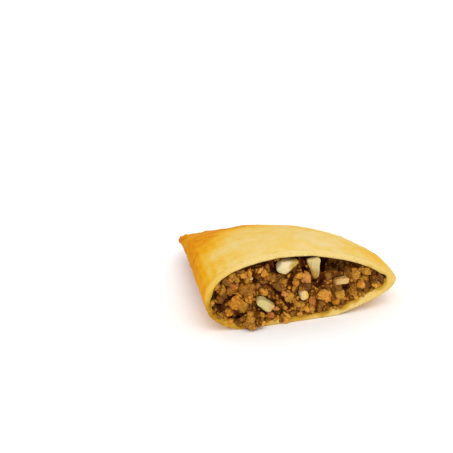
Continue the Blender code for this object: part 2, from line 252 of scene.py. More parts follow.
class EffectGraph(Graph):
    """The graph of a shared node group, which turns a place and numbers into numbers."""

    def __init__(self, effect: Effect, outputs: Iterable[str], **numbers: float) -> None:
        """Makes the group with its inputs and outputs.

        Args:
            effect: The group's name.
            outputs: The number outputs.
            numbers: The number inputs with their defaults. Size is one of them.
        """
        super().__init__(bpy.data.node_groups.new(effect.value, "ShaderNodeTree"))
        sockets = self.tree.interface
        sockets.new_socket("Place", in_out="INPUT", socket_type="NodeSocketVector")
        for name, value in numbers.items():
            socket = sockets.new_socket(name, in_out="INPUT", socket_type="NodeSocketFloat")
            socket.default_value = value
        for name in outputs:
            sockets.new_socket(name, in_out="OUTPUT", socket_type="NodeSocketFloat")
        self.source = self.add("NodeGroupInput")
        self.result = self.add("NodeGroupOutput")
        self.scale = self.maths("DIVIDE", 1.0, self.given("Size"))

    def given(self, name: str) -> bpy.types.NodeSocket:
        """Reads one of the group's inputs."""
        return self.source.outputs[name]

    def texture(self, kind: str, place: Any = None, **numbers: float) -> bpy.types.Node:
        """Adds a texture of the group's size, at the group's place unless another is given."""
        inputs = {"Vector": place or self.given("Place"), "Scale": self.scale, **numbers}
        return self.add(kind, inputs)

    def finish(self, **outputs: bpy.types.NodeSocket) -> bpy.types.NodeTree:
        """Links the group's outputs and returns its tree."""
        self.feed(self.result, outputs)
        return self.tree


def make_blotches() -> bpy.types.NodeTree:
    """Soft blotches: noise stretched between a low and a high threshold.

    Returns:
        The group's tree.
    """
    graph = EffectGraph(Effect.BLOTCHES, ["Mask"], Size=5 * MM, Low=0.4, High=0.6)
    cloud = graph.texture("ShaderNodeTexNoise", Detail=3.0, Roughness=0.55).outputs["Fac"]
    return graph.finish(Mask=graph.remap(cloud, graph.given("Low"), graph.given("High")))


def make_grain() -> bpy.types.NodeTree:
    """Fine grain of two sizes: a height for bumps, and pores at its lowest places.

    Returns:
        The group's tree.
    """
    cell_rest, pore_edges = 0.5, (0.42, 0.32)
    graph = EffectGraph(Effect.GRAIN, ["Height", "Pores"], Size=0.5 * MM)
    fine = graph.texture("ShaderNodeTexNoise", Detail=4.0, Roughness=0.65).outputs["Fac"]
    cells = graph.texture("ShaderNodeTexVoronoi").outputs["Distance"]
    height = graph.maths("MULTIPLY", fine, graph.maths("ADD", cells, cell_rest))
    return graph.finish(Height=height, Pores=graph.remap(fine, *pore_edges))


def make_freckles() -> bpy.types.NodeTree:
    """Round specks in a share of the cells of a pattern.

    Returns:
        The group's tree.
    """
    graph = EffectGraph(Effect.FRECKLES, ["Mask"], Size=1.5 * MM, Share=0.3, Radius=0.3)
    cells = graph.texture("ShaderNodeTexVoronoi").outputs
    red = graph.add("ShaderNodeSeparateColor", {"Color": cells["Color"]}).outputs[0]
    chosen = graph.maths("LESS_THAN", red, graph.given("Share"))
    dot = graph.remap(cells["Distance"], graph.given("Radius"), 0.0)
    return graph.finish(Mask=graph.maths("MULTIPLY", dot, chosen))


def make_fibres() -> bpy.types.NodeTree:
    """Streaks along Z, as wide as Size and Length times as long.

    Returns:
        The group's tree.
    """
    graph = EffectGraph(Effect.FIBRES, ["Height"], Size=0.4 * MM, Length=5.0)
    axis = graph.add("ShaderNodeSeparateXYZ", {"Vector": graph.given("Place")}).outputs
    along = graph.maths("DIVIDE", axis["Z"], graph.given("Length"))
    drawn = graph.add("ShaderNodeCombineXYZ", {"X": axis["X"], "Y": axis["Y"], "Z": along})
    streaks = graph.texture("ShaderNodeTexNoise", drawn.outputs[0], Detail=3.0, Distortion=0.6)
    return graph.finish(Height=streaks.outputs["Fac"])


@functools.cache
def effect_tree(effect: Effect) -> bpy.types.NodeTree:
    """Builds a shared node group the first time that a finish asks for it.

    Args:
        effect: Which group.

    Returns:
        The group's tree, which later calls share.
    """
    makers = {
        Effect.BLOTCHES: make_blotches,
        Effect.GRAIN: make_grain,
        Effect.FRECKLES: make_freckles,
        Effect.FIBRES: make_fibres,
    }
    return makers[effect]()


def start_material(
    name: str, fixed: dict[str, Any]
) -> tuple[bpy.types.Material, Graph, bpy.types.Node]:
    """Makes a material with one Principled BSDF.

    Args:
        name: The material's name.
        fixed: The shader's inputs that are the same all over.

    Returns:
        The material, its graph and the shader node.
    """
    material = bpy.data.materials.new(name)
    material.use_nodes = True
    graph = Graph(material.node_tree)
    shader = material.node_tree.nodes["Principled BSDF"]
    graph.feed(shader, fixed)
    return material, graph, shader


# ---------------------------------------------------------------------------------------------
# Finishes
# ---------------------------------------------------------------------------------------------


@dataclass(frozen=True)
class DoughFinish:
    """Baked dough: a skin that browns with its bake, and a paler crumb where it was cut."""

    name: str = "baked_dough"
    skin: tuple[tuple[float, Colour], ...] = (
        (0.0, (223, 198, 134)),
        (0.25, (223, 188, 97)),
        (0.5, (223, 170, 40)),
        (0.7, (219, 150, 4)),
        (0.86, (209, 129, 2)),
        (1.0, (182, 96, 2)),
    )
    crumb: tuple[tuple[float, Colour], ...] = (
        (0.0, (228, 200, 126)),
        (0.5, (222, 182, 80)),
        (1.0, (210, 160, 46)),
    )
    pore: Colour = (196, 150, 70)
    oily: Colour = (194, 150, 46)
    soaked: Colour = (146, 98, 22)
    # Painted shade: the inner wall of the shell turns to this colour deeper behind the cut.
    wall: Colour = (104, 46, 8)
    freckle: Colour = (194, 106, 4)
    gloss: float = 0.01
    mottle_edges: Span = (0.3, 0.7)
    mottle_shift: float = -0.13
    broad_size: float = 9 * MM
    broad_share: float = 0.16
    small_size: float = 1.6 * MM
    small_share: float = 0.11
    freckle_size: float = 1.5 * MM
    freckle_share: float = 0.45
    freckle_radius: float = 0.42
    freckle_strength: float = 0.6
    freckled_bake: Span = (0.3, 0.85)
    grain_size: float = 0.55 * MM
    pitting: float = 0.2
    oily_soak: float = 0.55
    skin_roughness: Span = (0.5, 0.62)
    crumb_roughness: float = 0.85
    bump_strength: float = 0.5
    bump_height: float = 0.1 * MM

    def material(self) -> bpy.types.Material:
        """Builds the material.

        Returns:
            The baked dough, which reads the bake, cut, soak and inside attributes.
        """
        material, graph, shader = start_material(self.name, {"Specular IOR Level": self.gloss})
        place = graph.place()
        bake, cut, soak = (graph.attribute(name) for name in ("bake", "cut", "soak"))
        edges = dict(zip(("Low", "High"), self.mottle_edges))
        broad = graph.effect(Effect.BLOTCHES, place, Size=self.broad_size, **edges)["Mask"]
        small = graph.effect(Effect.BLOTCHES, place, Size=self.small_size, **edges)["Mask"]
        grain = graph.effect(Effect.GRAIN, place, Size=self.grain_size)
        dots = {"Size": self.freckle_size, "Share": self.freckle_share, "Radius": self.freckle_radius}
        specks = graph.effect(Effect.FRECKLES, place, **dots)["Mask"]

        mottle = graph.maths("MULTIPLY_ADD", broad, self.broad_share, self.mottle_shift)
        mottle = graph.maths("MULTIPLY_ADD", small, self.small_share, mottle)
        skin = graph.ramp(graph.maths("ADD", bake, mottle, clamp=True), self.skin)
        toast = graph.remap(bake, *self.freckled_bake, 0.0, self.freckle_strength)
        skin = graph.blend(graph.maths("MULTIPLY", specks, toast), skin, linear(self.freckle))
        pitted = graph.maths("MULTIPLY", grain["Pores"], self.pitting)
        skin = graph.blend(pitted, skin, linear(self.freckle))

        crumb = graph.blend(grain["Pores"], graph.ramp(bake, self.crumb), linear(self.pore))
        crumb = graph.blend(graph.remap(soak, 0.0, self.oily_soak), crumb, linear(self.oily))
        crumb = graph.blend(graph.remap(soak, self.oily_soak, 1.0), crumb, linear(self.soaked))
        colour = graph.blend(cut, skin, crumb)
        # Painted shade: the inside mark darkens the inner wall deeper behind the cut.
        colour = graph.blend(graph.attribute("inside"), colour, linear(self.wall))

        satin = graph.remap(small, 0.0, 1.0, *self.skin_roughness)
        inputs = {0: cut, 2: satin, 3: self.crumb_roughness}
        rough = graph.add("ShaderNodeMix", inputs, data_type="FLOAT").outputs[0]
        normal = graph.bump(grain["Height"], self.bump_strength, self.bump_height)
        graph.feed(shader, {"Base Color": colour, "Roughness": rough, "Normal": normal})
        return material


@dataclass(frozen=True)
class MinceFinish:
    """Cooked mince: moist, fibrous, with a tone that differs from crumb to crumb."""

    name: str
    deep: Colour
    middle: Colour
    pale: Colour
    moisture: float = 0.16
    patch_size: float = 2.0 * MM
    patch_edges: Span = (0.3, 0.7)
    patch_share: float = 0.34
    fibre_size: float = 0.35 * MM
    fibre_length: float = 3.0
    fibre_edges: Span = (0.3, 0.7)
    fibre_tones: Span = (-0.28, 0.1)
    grain_size: float = 0.4 * MM
    grain_share: float = 0.5
    roughness: Span = (0.62, 0.36)
    bump_strength: float = 0.7
    bump_height: float = 0.18 * MM

    def material(self) -> bpy.types.Material:
        """Builds the material.

        Returns:
            The mince, which reads the tone attribute.
        """
        fixed = {"Specular IOR Level": self.moisture}
        material, graph, shader = start_material(self.name, fixed)
        place = graph.place()
        edges = dict(zip(("Low", "High"), self.patch_edges))
        patch = graph.effect(Effect.BLOTCHES, place, Size=self.patch_size, **edges)["Mask"]
        strands = {"Size": self.fibre_size, "Length": self.fibre_length}
        fibre = graph.effect(Effect.FIBRES, place, **strands)["Height"]
        grain = graph.effect(Effect.GRAIN, place, Size=self.grain_size)["Height"]
        streaks = graph.remap(fibre, *self.fibre_edges, *self.fibre_tones)
        uneven = graph.maths("MULTIPLY_ADD", patch, self.patch_share, streaks)
        tone = graph.maths("ADD", graph.attribute("tone"), uneven, clamp=True)
        colour = graph.ramp(tone, ((0.0, self.deep), (0.5, self.middle), (1.0, self.pale)))
        rough = graph.remap(patch, 0.0, 1.0, *self.roughness)
        height = graph.maths("MULTIPLY_ADD", grain, self.grain_share, fibre)
        normal = graph.bump(height, self.bump_strength, self.bump_height)
        graph.feed(shader, {"Base Color": colour, "Roughness": rough, "Normal": normal})
        return material


@dataclass(frozen=True)
class OnionFinish:
    """Cooked onion: soft and slightly clear, with fine lines along the layer."""

    name: str
    flesh: Colour
    vein: Colour
    gloss: float = 0.45
    clearness: float = 0.4
    clear_depth: float = 1 * MM
    line_size: float = 0.4 * MM
    line_length: float = 8.0
    line_edges: Span = (0.45, 0.7)
    line_share: float = 0.3
    stain_size: float = 2.4 * MM
    stain_edges: Span = (0.5, 0.85)
    roughness: Span = (0.3, 0.5)
    bump_strength: float = 0.3
    bump_height: float = 0.12 * MM

    def material(self) -> bpy.types.Material:
        """Builds the material.

        Returns:
            The cooked onion, which reads the tip attribute where there is one.
        """
        fixed = {
            "Specular IOR Level": self.gloss,
            "Subsurface Weight": self.clearness,
            "Subsurface Scale": self.clear_depth,
        }
        material, graph, shader = start_material(self.name, fixed)
        place = graph.place()
        layer = {"Size": self.line_size, "Length": self.line_length}
        lines = graph.effect(Effect.FIBRES, place, **layer)["Height"]
        edges = dict(zip(("Low", "High"), self.stain_edges))
        stain = graph.effect(Effect.BLOTCHES, place, Size=self.stain_size, **edges)["Mask"]
        stained = graph.maths("MAXIMUM", stain, graph.attribute("tip"))
        lined = graph.remap(lines, *self.line_edges, 0.0, self.line_share)
        veined = graph.maths("ADD", lined, stained, clamp=True)
        colour = graph.blend(veined, linear(self.flesh), linear(self.vein))
        rough = graph.remap(stain, 0.0, 1.0, *self.roughness)
        normal = graph.bump(lines, self.bump_strength, self.bump_height)
        graph.feed(shader, {"Base Color": colour, "Roughness": rough, "Normal": normal})
        return material


Finish = DoughFinish | MinceFinish | OnionFinish


# ---------------------------------------------------------------------------------------------
# Meshes
# ---------------------------------------------------------------------------------------------


def merged_copy(node: str) -> bmesh.types.BMesh:
    """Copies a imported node's mesh, with its doubles merged.

    Args:
        node: The node's name.

    Returns:
        The copy, for the caller to free.
    """
    copy = bmesh.new()
    copy.from_mesh(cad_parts[node].data)
    bmesh.ops.remove_doubles(copy, verts=copy.verts, dist=MERGE)
    return copy


def search_tree(node: str) -> BVHTree:
    """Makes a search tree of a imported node's surface.

    Args:
        node: The node's name.

    Returns:
        The search tree.
    """
    copy = merged_copy(node)
    tree = BVHTree.FromBMesh(copy)
    copy.free()
    return tree


def new_mesh(name: str, shape: bmesh.types.BMesh) -> bpy.types.Mesh:
    """Makes a mesh of a shape.

    Args:
        name: The mesh's name.
        shape: The shape, which is freed.

    Returns:
        The mesh.
    """
    mesh = bpy.data.meshes.new(name)
    shape.to_mesh(mesh)
    shape.free()
    return mesh


def new_object(name: str, data: bpy.types.ID) -> bpy.types.Object:
    """Puts a mesh, a lamp or a camera in the scene.

    Args:
        name: The object's name.
        data: What it shows or holds.

    Returns:
        The new object.
    """
    shown = bpy.data.objects.new(name, data)
    bpy.context.scene.collection.objects.link(shown)
    return shown


def is_on_cut(face: bmesh.types.BMFace) -> bool:
    """Tells whether a face lies in the plane of the cut."""
    return all(abs(corner.co.y - CUT_Y) < CUT_TOLERANCE for corner in face.verts)


def cut_edges() -> np.ndarray:
    """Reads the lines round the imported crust's cut face.

    Returns:
        For each line its two ends.
    """
    copy = merged_copy(CRUST_NODE)
    lines = [
        [corner.co[:] for corner in edge.verts]
        for edge in copy.edges
        if sum(is_on_cut(face) for face in edge.link_faces) == 1
    ]
    copy.free()
    return np.array(lines)


def nearest_on_lines(points: np.ndarray, lines: np.ndarray) -> np.ndarray:
    """Finds the nearest place on a set of lines.

    Args:
        points: One row for each point.
        lines: For each line its two ends.

    Returns:
        The nearest place for each point.
    """
    start, way = lines[:, 0], lines[:, 1] - lines[:, 0]
    share = np.einsum("nmk,mk->nm", points[:, None] - start, way) / np.einsum("mk,mk->m", way, way)
    places = start + np.clip(share, 0, 1)[:, :, None] * way
    best = np.linalg.norm(places - points[:, None], axis=2).argmin(axis=1)
    return places[np.arange(len(points)), best]


def even_mesh(name: str, shape: bmesh.types.BMesh, voxel: float) -> bpy.types.Mesh:
    """Rebuilds a closed shape from even faces.

    Args:
        name: The new mesh's name.
        shape: The closed shape, which is freed.
        voxel: The faces' size.

    Returns:
        The rebuilt mesh.
    """
    rough = new_mesh(name + "_rough", shape)
    holder = new_object(name + "_holder", rough)
    remesh = holder.modifiers.new("Even faces", "REMESH")
    remesh.mode = "VOXEL"
    remesh.voxel_size = voxel
    remesh.adaptivity = 0.0
    evaluated = holder.evaluated_get(bpy.context.evaluated_depsgraph_get())
    mesh = bpy.data.meshes.new_from_object(evaluated)
    mesh.name = name
    bpy.data.objects.remove(holder)
    bpy.data.meshes.remove(rough)
    return mesh


def ease(values: np.ndarray, start: float, end: float) -> np.ndarray:
    """Goes smoothly from 0 at the start to 1 at the end, which may lie below the start."""
    share = np.clip((values - start) / (end - start), 0.0, 1.0)
    return share * share * (3 - 2 * share)


@dataclass(frozen=True)
class Fade:
    """A number that grows smoothly from 0 at the start to its strength at the end."""

    strength: float
    start: float
    end: float

    def at(self, values: np.ndarray) -> np.ndarray:
        """Works out the number for each value."""
        return self.strength * ease(values, self.start, self.end)


@dataclass(frozen=True)
class Ripple:
    """Smooth bumps: their height, how far apart they lie, and a shift to tell them by."""

    height: float
    length: float
    shift: float = 0.0

    def at(self, points: np.ndarray, shift: float = 0.0) -> np.ndarray:
        """Works out how high the bumps are.

        Args:
            points: One row for each point.
            shift: Moves the bumps further.

        Returns:
            A number for each point, up to about the height above and below 0.
        """
        rows = points / self.length + (self.shift + shift)
        return self.height * np.array([noise.noise(Vector(row)) for row in rows])


class Rank(IntEnum):
    """How firmly a point is held when its mesh is smoothed."""

    FREE = 0
    ON_FACE = 1
    ON_EDGE = 2


class Skin:
    """A mesh's points as one array, for moves in code."""

    pull = 0.5

    def __init__(self, mesh: bpy.types.Mesh) -> None:
        """Reads the mesh's points, edges and face corners.

        Args:
            mesh: The mesh.
        """
        self.mesh = mesh
        self.points = np.empty((len(mesh.vertices), 3), np.float32)
        mesh.vertices.foreach_get("co", self.points.ravel())
        self.edges = np.empty((len(mesh.edges), 2), np.int32)
        mesh.edges.foreach_get("vertices", self.edges.ravel())
        self.corners = np.empty(len(mesh.loops), np.int32)
        mesh.loops.foreach_get("vertex_index", self.corners)

    def store(self) -> None:
        """Writes the points back to the mesh."""
        self.mesh.vertices.foreach_set("co", self.points.astype(np.float32).ravel())
        self.mesh.update()

    def normals(self) -> np.ndarray:
        """Stores the points and reads which way each of them faces.

        Returns:
            One row for each point.
        """
        self.store()
        found = np.empty((len(self.points), 3), np.float32)
        self.mesh.vertices.foreach_get("normal", found.ravel())
        return found

    def both_ways(self) -> np.ndarray:
        """Lists the edges' ends in both directions."""
        return np.concatenate([self.edges, self.edges[:, ::-1]])

    def relax(self, rounds: int, rank: np.ndarray | None = None, push: float = 0.53) -> None:
        """Smooths: each round pulls the points together and pushes them back.

        Args:
            rounds: How many rounds.
            rank: Each point's rank. A point follows only neighbours of its own rank or higher.
            push: How far they are pushed back. 0.53 keeps the form, and 0 rounds its edges.
        """
        total = len(self.points)
        rank = np.full(total, Rank.FREE) if rank is None else rank
        pairs = self.both_ways()
        pairs = pairs[rank[pairs[:, 1]] >= rank[pairs[:, 0]]]
        taker, giver = pairs[:, 0], pairs[:, 1]
        count = np.bincount(taker, minlength=total)
        led = count >= 2
        for weight in (self.pull, -push) * rounds:
            sums = np.stack(
                [np.bincount(taker, self.points[giver, axis], total) for axis in range(3)], axis=1
            )
            self.points[led] += weight * (sums[led] / count[led, None] - self.points[led])

    def blur(self, values: np.ndarray, rounds: int) -> np.ndarray:
        """Evens out a number that each point holds, over its neighbours.

        Args:
            values: The number at each point.
            rounds: How many times it is spread.

        Returns:
            The evened number at each point.
        """
        near, far = self.both_ways().T
        count = 1 + np.bincount(near, minlength=len(values))
        for _ in range(rounds):
            values = (values + np.bincount(near, values[far], len(values))) / count
        return values

    def reach_from(self, start: int, closed: np.ndarray) -> np.ndarray:
        """Finds the points that connect to one point without crossing closed ones.

        Args:
            start: The point's number.
            closed: Which points can't be crossed.

        Returns:
            Which points connect to it.
        """
        near, far = self.both_ways().T
        reached = np.zeros(len(closed), bool)
        reached[start] = True
        total = 0
        while total < reached.sum():
            total = reached.sum()
            reached[far[reached[near]]] = True
            reached &= ~closed
        return reached

    def lift(self, heights: np.ndarray) -> None:
        """Moves each point along the way it faces."""
        self.points += self.normals() * heights[:, None]

    def mark(self, name: str, values: np.ndarray) -> None:
        """Stores a number at each point, for the finish to read."""
        layer = self.mesh.attributes.new(name, "FLOAT", "POINT")
        layer.data.foreach_set("value", values.astype(np.float32))

    def settle(self) -> None:
        """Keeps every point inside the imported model's box and stores the points."""
        low, high = (np.array(corner) for corner in CAD_BOX)
        self.points = np.clip(self.points, low, high)
        self.store()


def present(
    name: str, mesh: bpy.types.Mesh, finish: Finish, slot: Slot, nodes: Sequence[str]
) -> bpy.types.Object:
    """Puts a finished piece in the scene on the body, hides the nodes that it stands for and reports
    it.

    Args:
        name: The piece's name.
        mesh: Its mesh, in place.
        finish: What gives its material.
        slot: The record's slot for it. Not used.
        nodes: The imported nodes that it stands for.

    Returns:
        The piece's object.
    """
    mesh.name = name
    mesh.materials.clear()
    mesh.materials.append(finish.material())
    mesh.shade_smooth()
    piece = new_object(name, mesh)
    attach(piece, BODY)
    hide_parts(*nodes)
    log.info("%s: %d faces, for %s", name, len(mesh.polygons), ", ".join(nodes))
    return piece


# ---------------------------------------------------------------------------------------------
# Crust
# ---------------------------------------------------------------------------------------------


@dataclass(frozen=True)
class Glow:
    """A browned patch: its middle, how far it reaches and how strongly it browned."""

    middle: tuple[float, float, float]
    reach: float
    strength: float

    def at(self, points: np.ndarray) -> np.ndarray:
        """Works out how much it browns each point."""
        far = np.linalg.norm(points - np.array(self.middle), axis=1)
        return self.strength * np.exp(-((far / self.reach) ** 2))


@dataclass
class Crust:
    """The folded dough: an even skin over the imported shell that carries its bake."""

    voxel: float = 0.5 * MM
    rounds: int = 110
    cut_depth: float = 0.16 * MM
    relief: tuple[Ripple, ...] = (
        Ripple(0.3 * MM, 15 * MM, 7.0),
        Ripple(0.2 * MM, 4.8 * MM),
        Ripple(0.13 * MM, 1.6 * MM, 5.0),
    )
    blister_count: int = 90
    blister_radius: Span = (0.7 * MM, 1.9 * MM)
    blister_height: Span = (0.07 * MM, 0.24 * MM)
    blister_top: float = 0.1
    pinch_reach: float = 17 * MM
    pinch_height: float = 0.16 * MM
    pinch_count: float = 7.0
    pinch_waver: Ripple = Ripple(0.5, 6 * MM, 2.0)
    crumb_height: float = 0.3 * MM
    crumb_rest: float = 0.5
    crumb_most: float = 2.0
    crumb_relief: tuple[Ripple, ...] = (Ripple(0.5, 0.9 * MM, 1.0), Ripple(0.4, 2.79 * MM, 6.0))
    edge_fade: float = 0.9 * MM
    cut_softness: int = 4
    soak_softness: int = 2
    soak_width: float = 0.8 * MM
    soak_more_below: float = 2.0 * MM
    soak_more_left: float = 3.2 * MM
    soak_heights: Span = (22 * MM, 7 * MM)
    soak_sides: Span = (4 * MM, -24 * MM)
    soak_waver: Ripple = Ripple(0.5, 3 * MM, 4.0)
    soak_core: float = 0.1
    wall_soak: float = 0.5
    wall_fade: Span = (1.5 * MM, 6 * MM)
    resting_bake: float = 0.13
    left_bake: Fade = Fade(0.42, -0.15, -0.9)
    under_bake: Fade = Fade(0.3, -0.1, -0.75)
    side_bake: Fade = Fade(0.14, 0.7, 1.0)
    back_bake: Fade = Fade(0.08, CUT_Y + 8 * MM, CUT_Y + 45 * MM)
    mottles: tuple[Ripple, ...] = (Ripple(0.12, 11 * MM, 3.0), Ripple(0.09, 4 * MM, 9.0))
    bake_knee: float = 0.66
    bake_span: float = 0.2
    low_crumb: Fade = Fade(0.55, 22 * MM, 4 * MM)
    low_crumb_sides: Span = (30 * MM, -36 * MM)
    end_crumbs: tuple[Fade, ...] = (Fade(0.5, -18 * MM, -36 * MM), Fade(0.3, 18 * MM, 36 * MM))
    glows: tuple[Glow, ...] = (
        Glow((-36 * MM, 33 * MM, 10 * MM), 16 * MM, 0.4),
        Glow((-33 * MM, 11 * MM, 16 * MM), 16 * MM, 0.46),
        Glow((-19 * MM, 26 * MM, 14 * MM), 14 * MM, 0.32),
        Glow((-11 * MM, 19 * MM, 18 * MM), 9 * MM, 0.24),
        Glow((33 * MM, -26 * MM, 17 * MM), 12 * MM, 0.3),
        Glow((14 * MM, 8 * MM, 12 * MM), 16 * MM, 0.2),
        Glow((-25 * MM, -25 * MM, 26 * MM), 8 * MM, 0.14),
    )
    seed: int = 7

    def build(self) -> bpy.types.Object:
        """Builds the crust.

        Returns:
            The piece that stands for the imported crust.
        """
        skin = Skin(even_mesh(CRUST_NODE, merged_copy(CRUST_NODE), self.voxel))
        on_cut = skin.points[:, 1] < CUT_Y + self.cut_depth
        skin.points[on_cut, 1] = CUT_Y
        rank = self.ranks(skin, on_cut)
        on_edge = rank == Rank.ON_EDGE
        lines = cut_edges()
        skin.points[on_edge] = nearest_on_lines(skin.points[on_edge], lines)
        skin.relax(self.rounds, rank)
        top = int(np.argmax(np.where(on_cut, -math.inf, skin.points[:, 2])))
        outside = skin.reach_from(top, on_cut)
        inside = ~outside & ~on_cut
        bake = self.bake(skin, outside)
        self.shape_skin(skin, outside)
        soak = self.shape_cut(skin, on_cut, lines)
        skin.settle()
        depth = skin.points[:, 1] - CUT_Y
        walls = self.wall_soak + (1 - self.wall_soak) * ease(depth, 0.0, self.wall_fade[0])
        soak = np.where(inside, walls, soak)
        skin.mark("bake", bake)
        skin.mark("cut", skin.blur((~outside).astype(float), self.cut_softness))
        skin.mark("soak", skin.blur(soak, self.soak_softness))
        # Painted shade: the inside mark grows from 1.5 mm to 6 mm behind the cut.
        skin.mark("inside", skin.blur(inside * ease(depth, *self.wall_fade), self.soak_softness))
        return present("crust_skin", skin.mesh, DoughFinish(), Slot.DOUGH, [CRUST_NODE])

    @staticmethod
    def ranks(skin: Skin, on_cut: np.ndarray) -> np.ndarray:
        """Ranks the points for smoothing: the cut face keeps flat and its edge keeps crisp.

        Args:
            skin: The crust's skin.
            on_cut: Which points are on the cut face.

        Returns:
            The rank of each point.
        """
        rank = np.where(on_cut, Rank.ON_FACE, Rank.FREE)
        quads = skin.corners.reshape(-1, 4)
        mixed = quads[on_cut[quads].any(axis=1) & ~on_cut[quads].all(axis=1)].ravel()
        rank[mixed[on_cut[mixed]]] = Rank.ON_EDGE
        return rank

    def bake(self, skin: Skin, outside: np.ndarray) -> np.ndarray:
        """Works out how brown the dough is.

        Args:
            skin: The crust's skin.
            outside: Which points are on the outside.

        Returns:
            A number from 0, pale, to 1, dark brown, for each point.
        """
        normals = skin.normals()
        x, y, z = skin.points.T
        bake = np.full(len(skin.points), self.resting_bake)
        for spread in (*self.glows, *self.mottles):
            bake += spread.at(skin.points)
        bake += self.left_bake.at(normals[:, 0])
        bake += self.under_bake.at(normals[:, 2])
        bake += self.side_bake.at(np.hypot(normals[:, 0], normals[:, 1]))
        bake += self.back_bake.at(y)
        over = np.maximum(bake - self.bake_knee, 0.0)
        bake -= over - self.bake_span * np.tanh(over / self.bake_span)
        crumb = self.low_crumb.at(z) * ease(x, *self.low_crumb_sides)
        crumb += sum(fade.at(x) for fade in self.end_crumbs)
        return np.clip(np.where(outside, bake, crumb), 0.0, 1.0)

    def shape_skin(self, skin: Skin, outside: np.ndarray) -> None:
        """Raises lumps, fine wrinkles, blisters and the corner's pinches on the outside.

        Args:
            skin: The crust's skin.
            outside: Which points are on the outside.
        """
        draw = random.Random(self.seed)
        heights = sum(ripple.at(skin.points) for ripple in self.relief)
        candidates = np.flatnonzero(outside)
        for _ in range(self.blister_count):
            middle = skin.points[candidates[draw.randrange(len(candidates))]]
            radius = draw.uniform(*self.blister_radius)
            far = np.linalg.norm(skin.points - middle, axis=1)
            dome = ease(far, radius, self.blister_top * radius)
            heights += draw.uniform(*self.blister_height) * dome
        corner = skin.points[np.argmax(skin.points[:, 1])]
        away = skin.points - corner
        turn = np.arctan2(away[:, 2], away[:, 0]) + self.pinch_waver.at(skin.points)
        near = np.exp(-((np.linalg.norm(away, axis=1) / self.pinch_reach) ** 2))
        heights += self.pinch_height * near * np.sin(turn * self.pinch_count)
        skin.lift(np.where(outside, heights, 0.0))

    def shape_cut(self, skin: Skin, on_cut: np.ndarray, lines: np.ndarray) -> np.ndarray:
        """Roughens the cut face and finds where it is soaked.

        Args:
            skin: The crust's skin.
            on_cut: Which points are on the cut face.
            lines: The lines round the cut face, where it stays even.

        Returns:
            A number from 0, dry, to 1, soaked, for each point.
        """
        rough = self.crumb_rest + sum(ripple.at(skin.points) for ripple in self.crumb_relief)
        face = skin.points[on_cut]
        from_edge = np.linalg.norm(nearest_on_lines(face, lines) - face, axis=1)
        rough = np.clip(rough[on_cut], 0.0, self.crumb_most) * ease(from_edge, 0.0, self.edge_fade)
        skin.points[on_cut, 1] += self.crumb_height * rough
        filling = search_tree(FILLING_NODE)
        away = np.zeros(len(skin.points))
        for index in np.flatnonzero(on_cut):
            away[index] = filling.find_nearest(Vector(skin.points[index]))[3]
        below = ease(skin.points[:, 2], *self.soak_heights)
        left = ease(skin.points[:, 0], *self.soak_sides)
        width = self.soak_width + below * (self.soak_more_below + self.soak_more_left * left)
        width *= 1 + self.soak_waver.at(skin.points)
        return np.where(on_cut, 1 - ease(away, self.soak_core * width, width), 0.0)


# ---------------------------------------------------------------------------------------------
# Filling
# ---------------------------------------------------------------------------------------------


class Kind(Enum):
    """The kinds of mince, told apart by colour. Each is one piece."""

    BROWN = "brown_mince"
    AMBER = "amber_mince"
    ROSY = "rosy_mince"
    DARK = "dark_mince"
    ONION = "onion_bits"


FINISHES = {
    Kind.BROWN: MinceFinish("brown_mince", (78, 36, 3), (154, 96, 16), (196, 142, 48)),
    Kind.AMBER: MinceFinish("amber_mince", (124, 66, 3), (190, 118, 24), (220, 158, 62)),
    Kind.ROSY: MinceFinish("rosy_mince", (108, 48, 6), (174, 102, 34), (212, 146, 74)),
    Kind.DARK: MinceFinish("dark_mince", (56, 20, 2), (104, 58, 8), (150, 98, 26)),
    Kind.ONION: OnionFinish("onion_bits", (222, 196, 132), (196, 150, 60)),
}


@dataclass(frozen=True)
class Spot:
    """Where a crumb sits: its middle and its half width."""

    middle: Vector
    radius: float


@dataclass(frozen=True)
class Landmark:
    """A crumb that shows clearly in the photograph.

    It lies where the line of sight through its place on the cut, along it and in height, meets
    the heap. Its form gives its width, depth and height as shares of its half width, and its
    shade runs from 0, dark, to 1, pale.
    """

    kind: Kind
    along: float
    height: float
    radius: float
    shade: float = 0.5
    form: tuple[float, float, float] = (1.0, 1.0, 1.0)


@dataclass(frozen=True)
class Crevice:
    """A gap between crumbs, from one place on the cut to another, along and in height; the bed is
    pushed in and painted darker there as shade.
    """

    start: Span
    end: Span
    half_width: float

    def clearance(self, seen: np.ndarray) -> np.ndarray:
        """Measures how far places on the cut are outside the gap.

        Args:
            seen: One row for each place, along the cut and in height.

        Returns:
            The distance for each place, below 0 inside the gap.
        """
        start, way = np.array(self.start), np.array(self.end) - self.start
        share = np.clip((seen - start) @ way / (way @ way), 0, 1)
        return np.linalg.norm(seen - start - share[:, None] * way, axis=1) - self.half_width


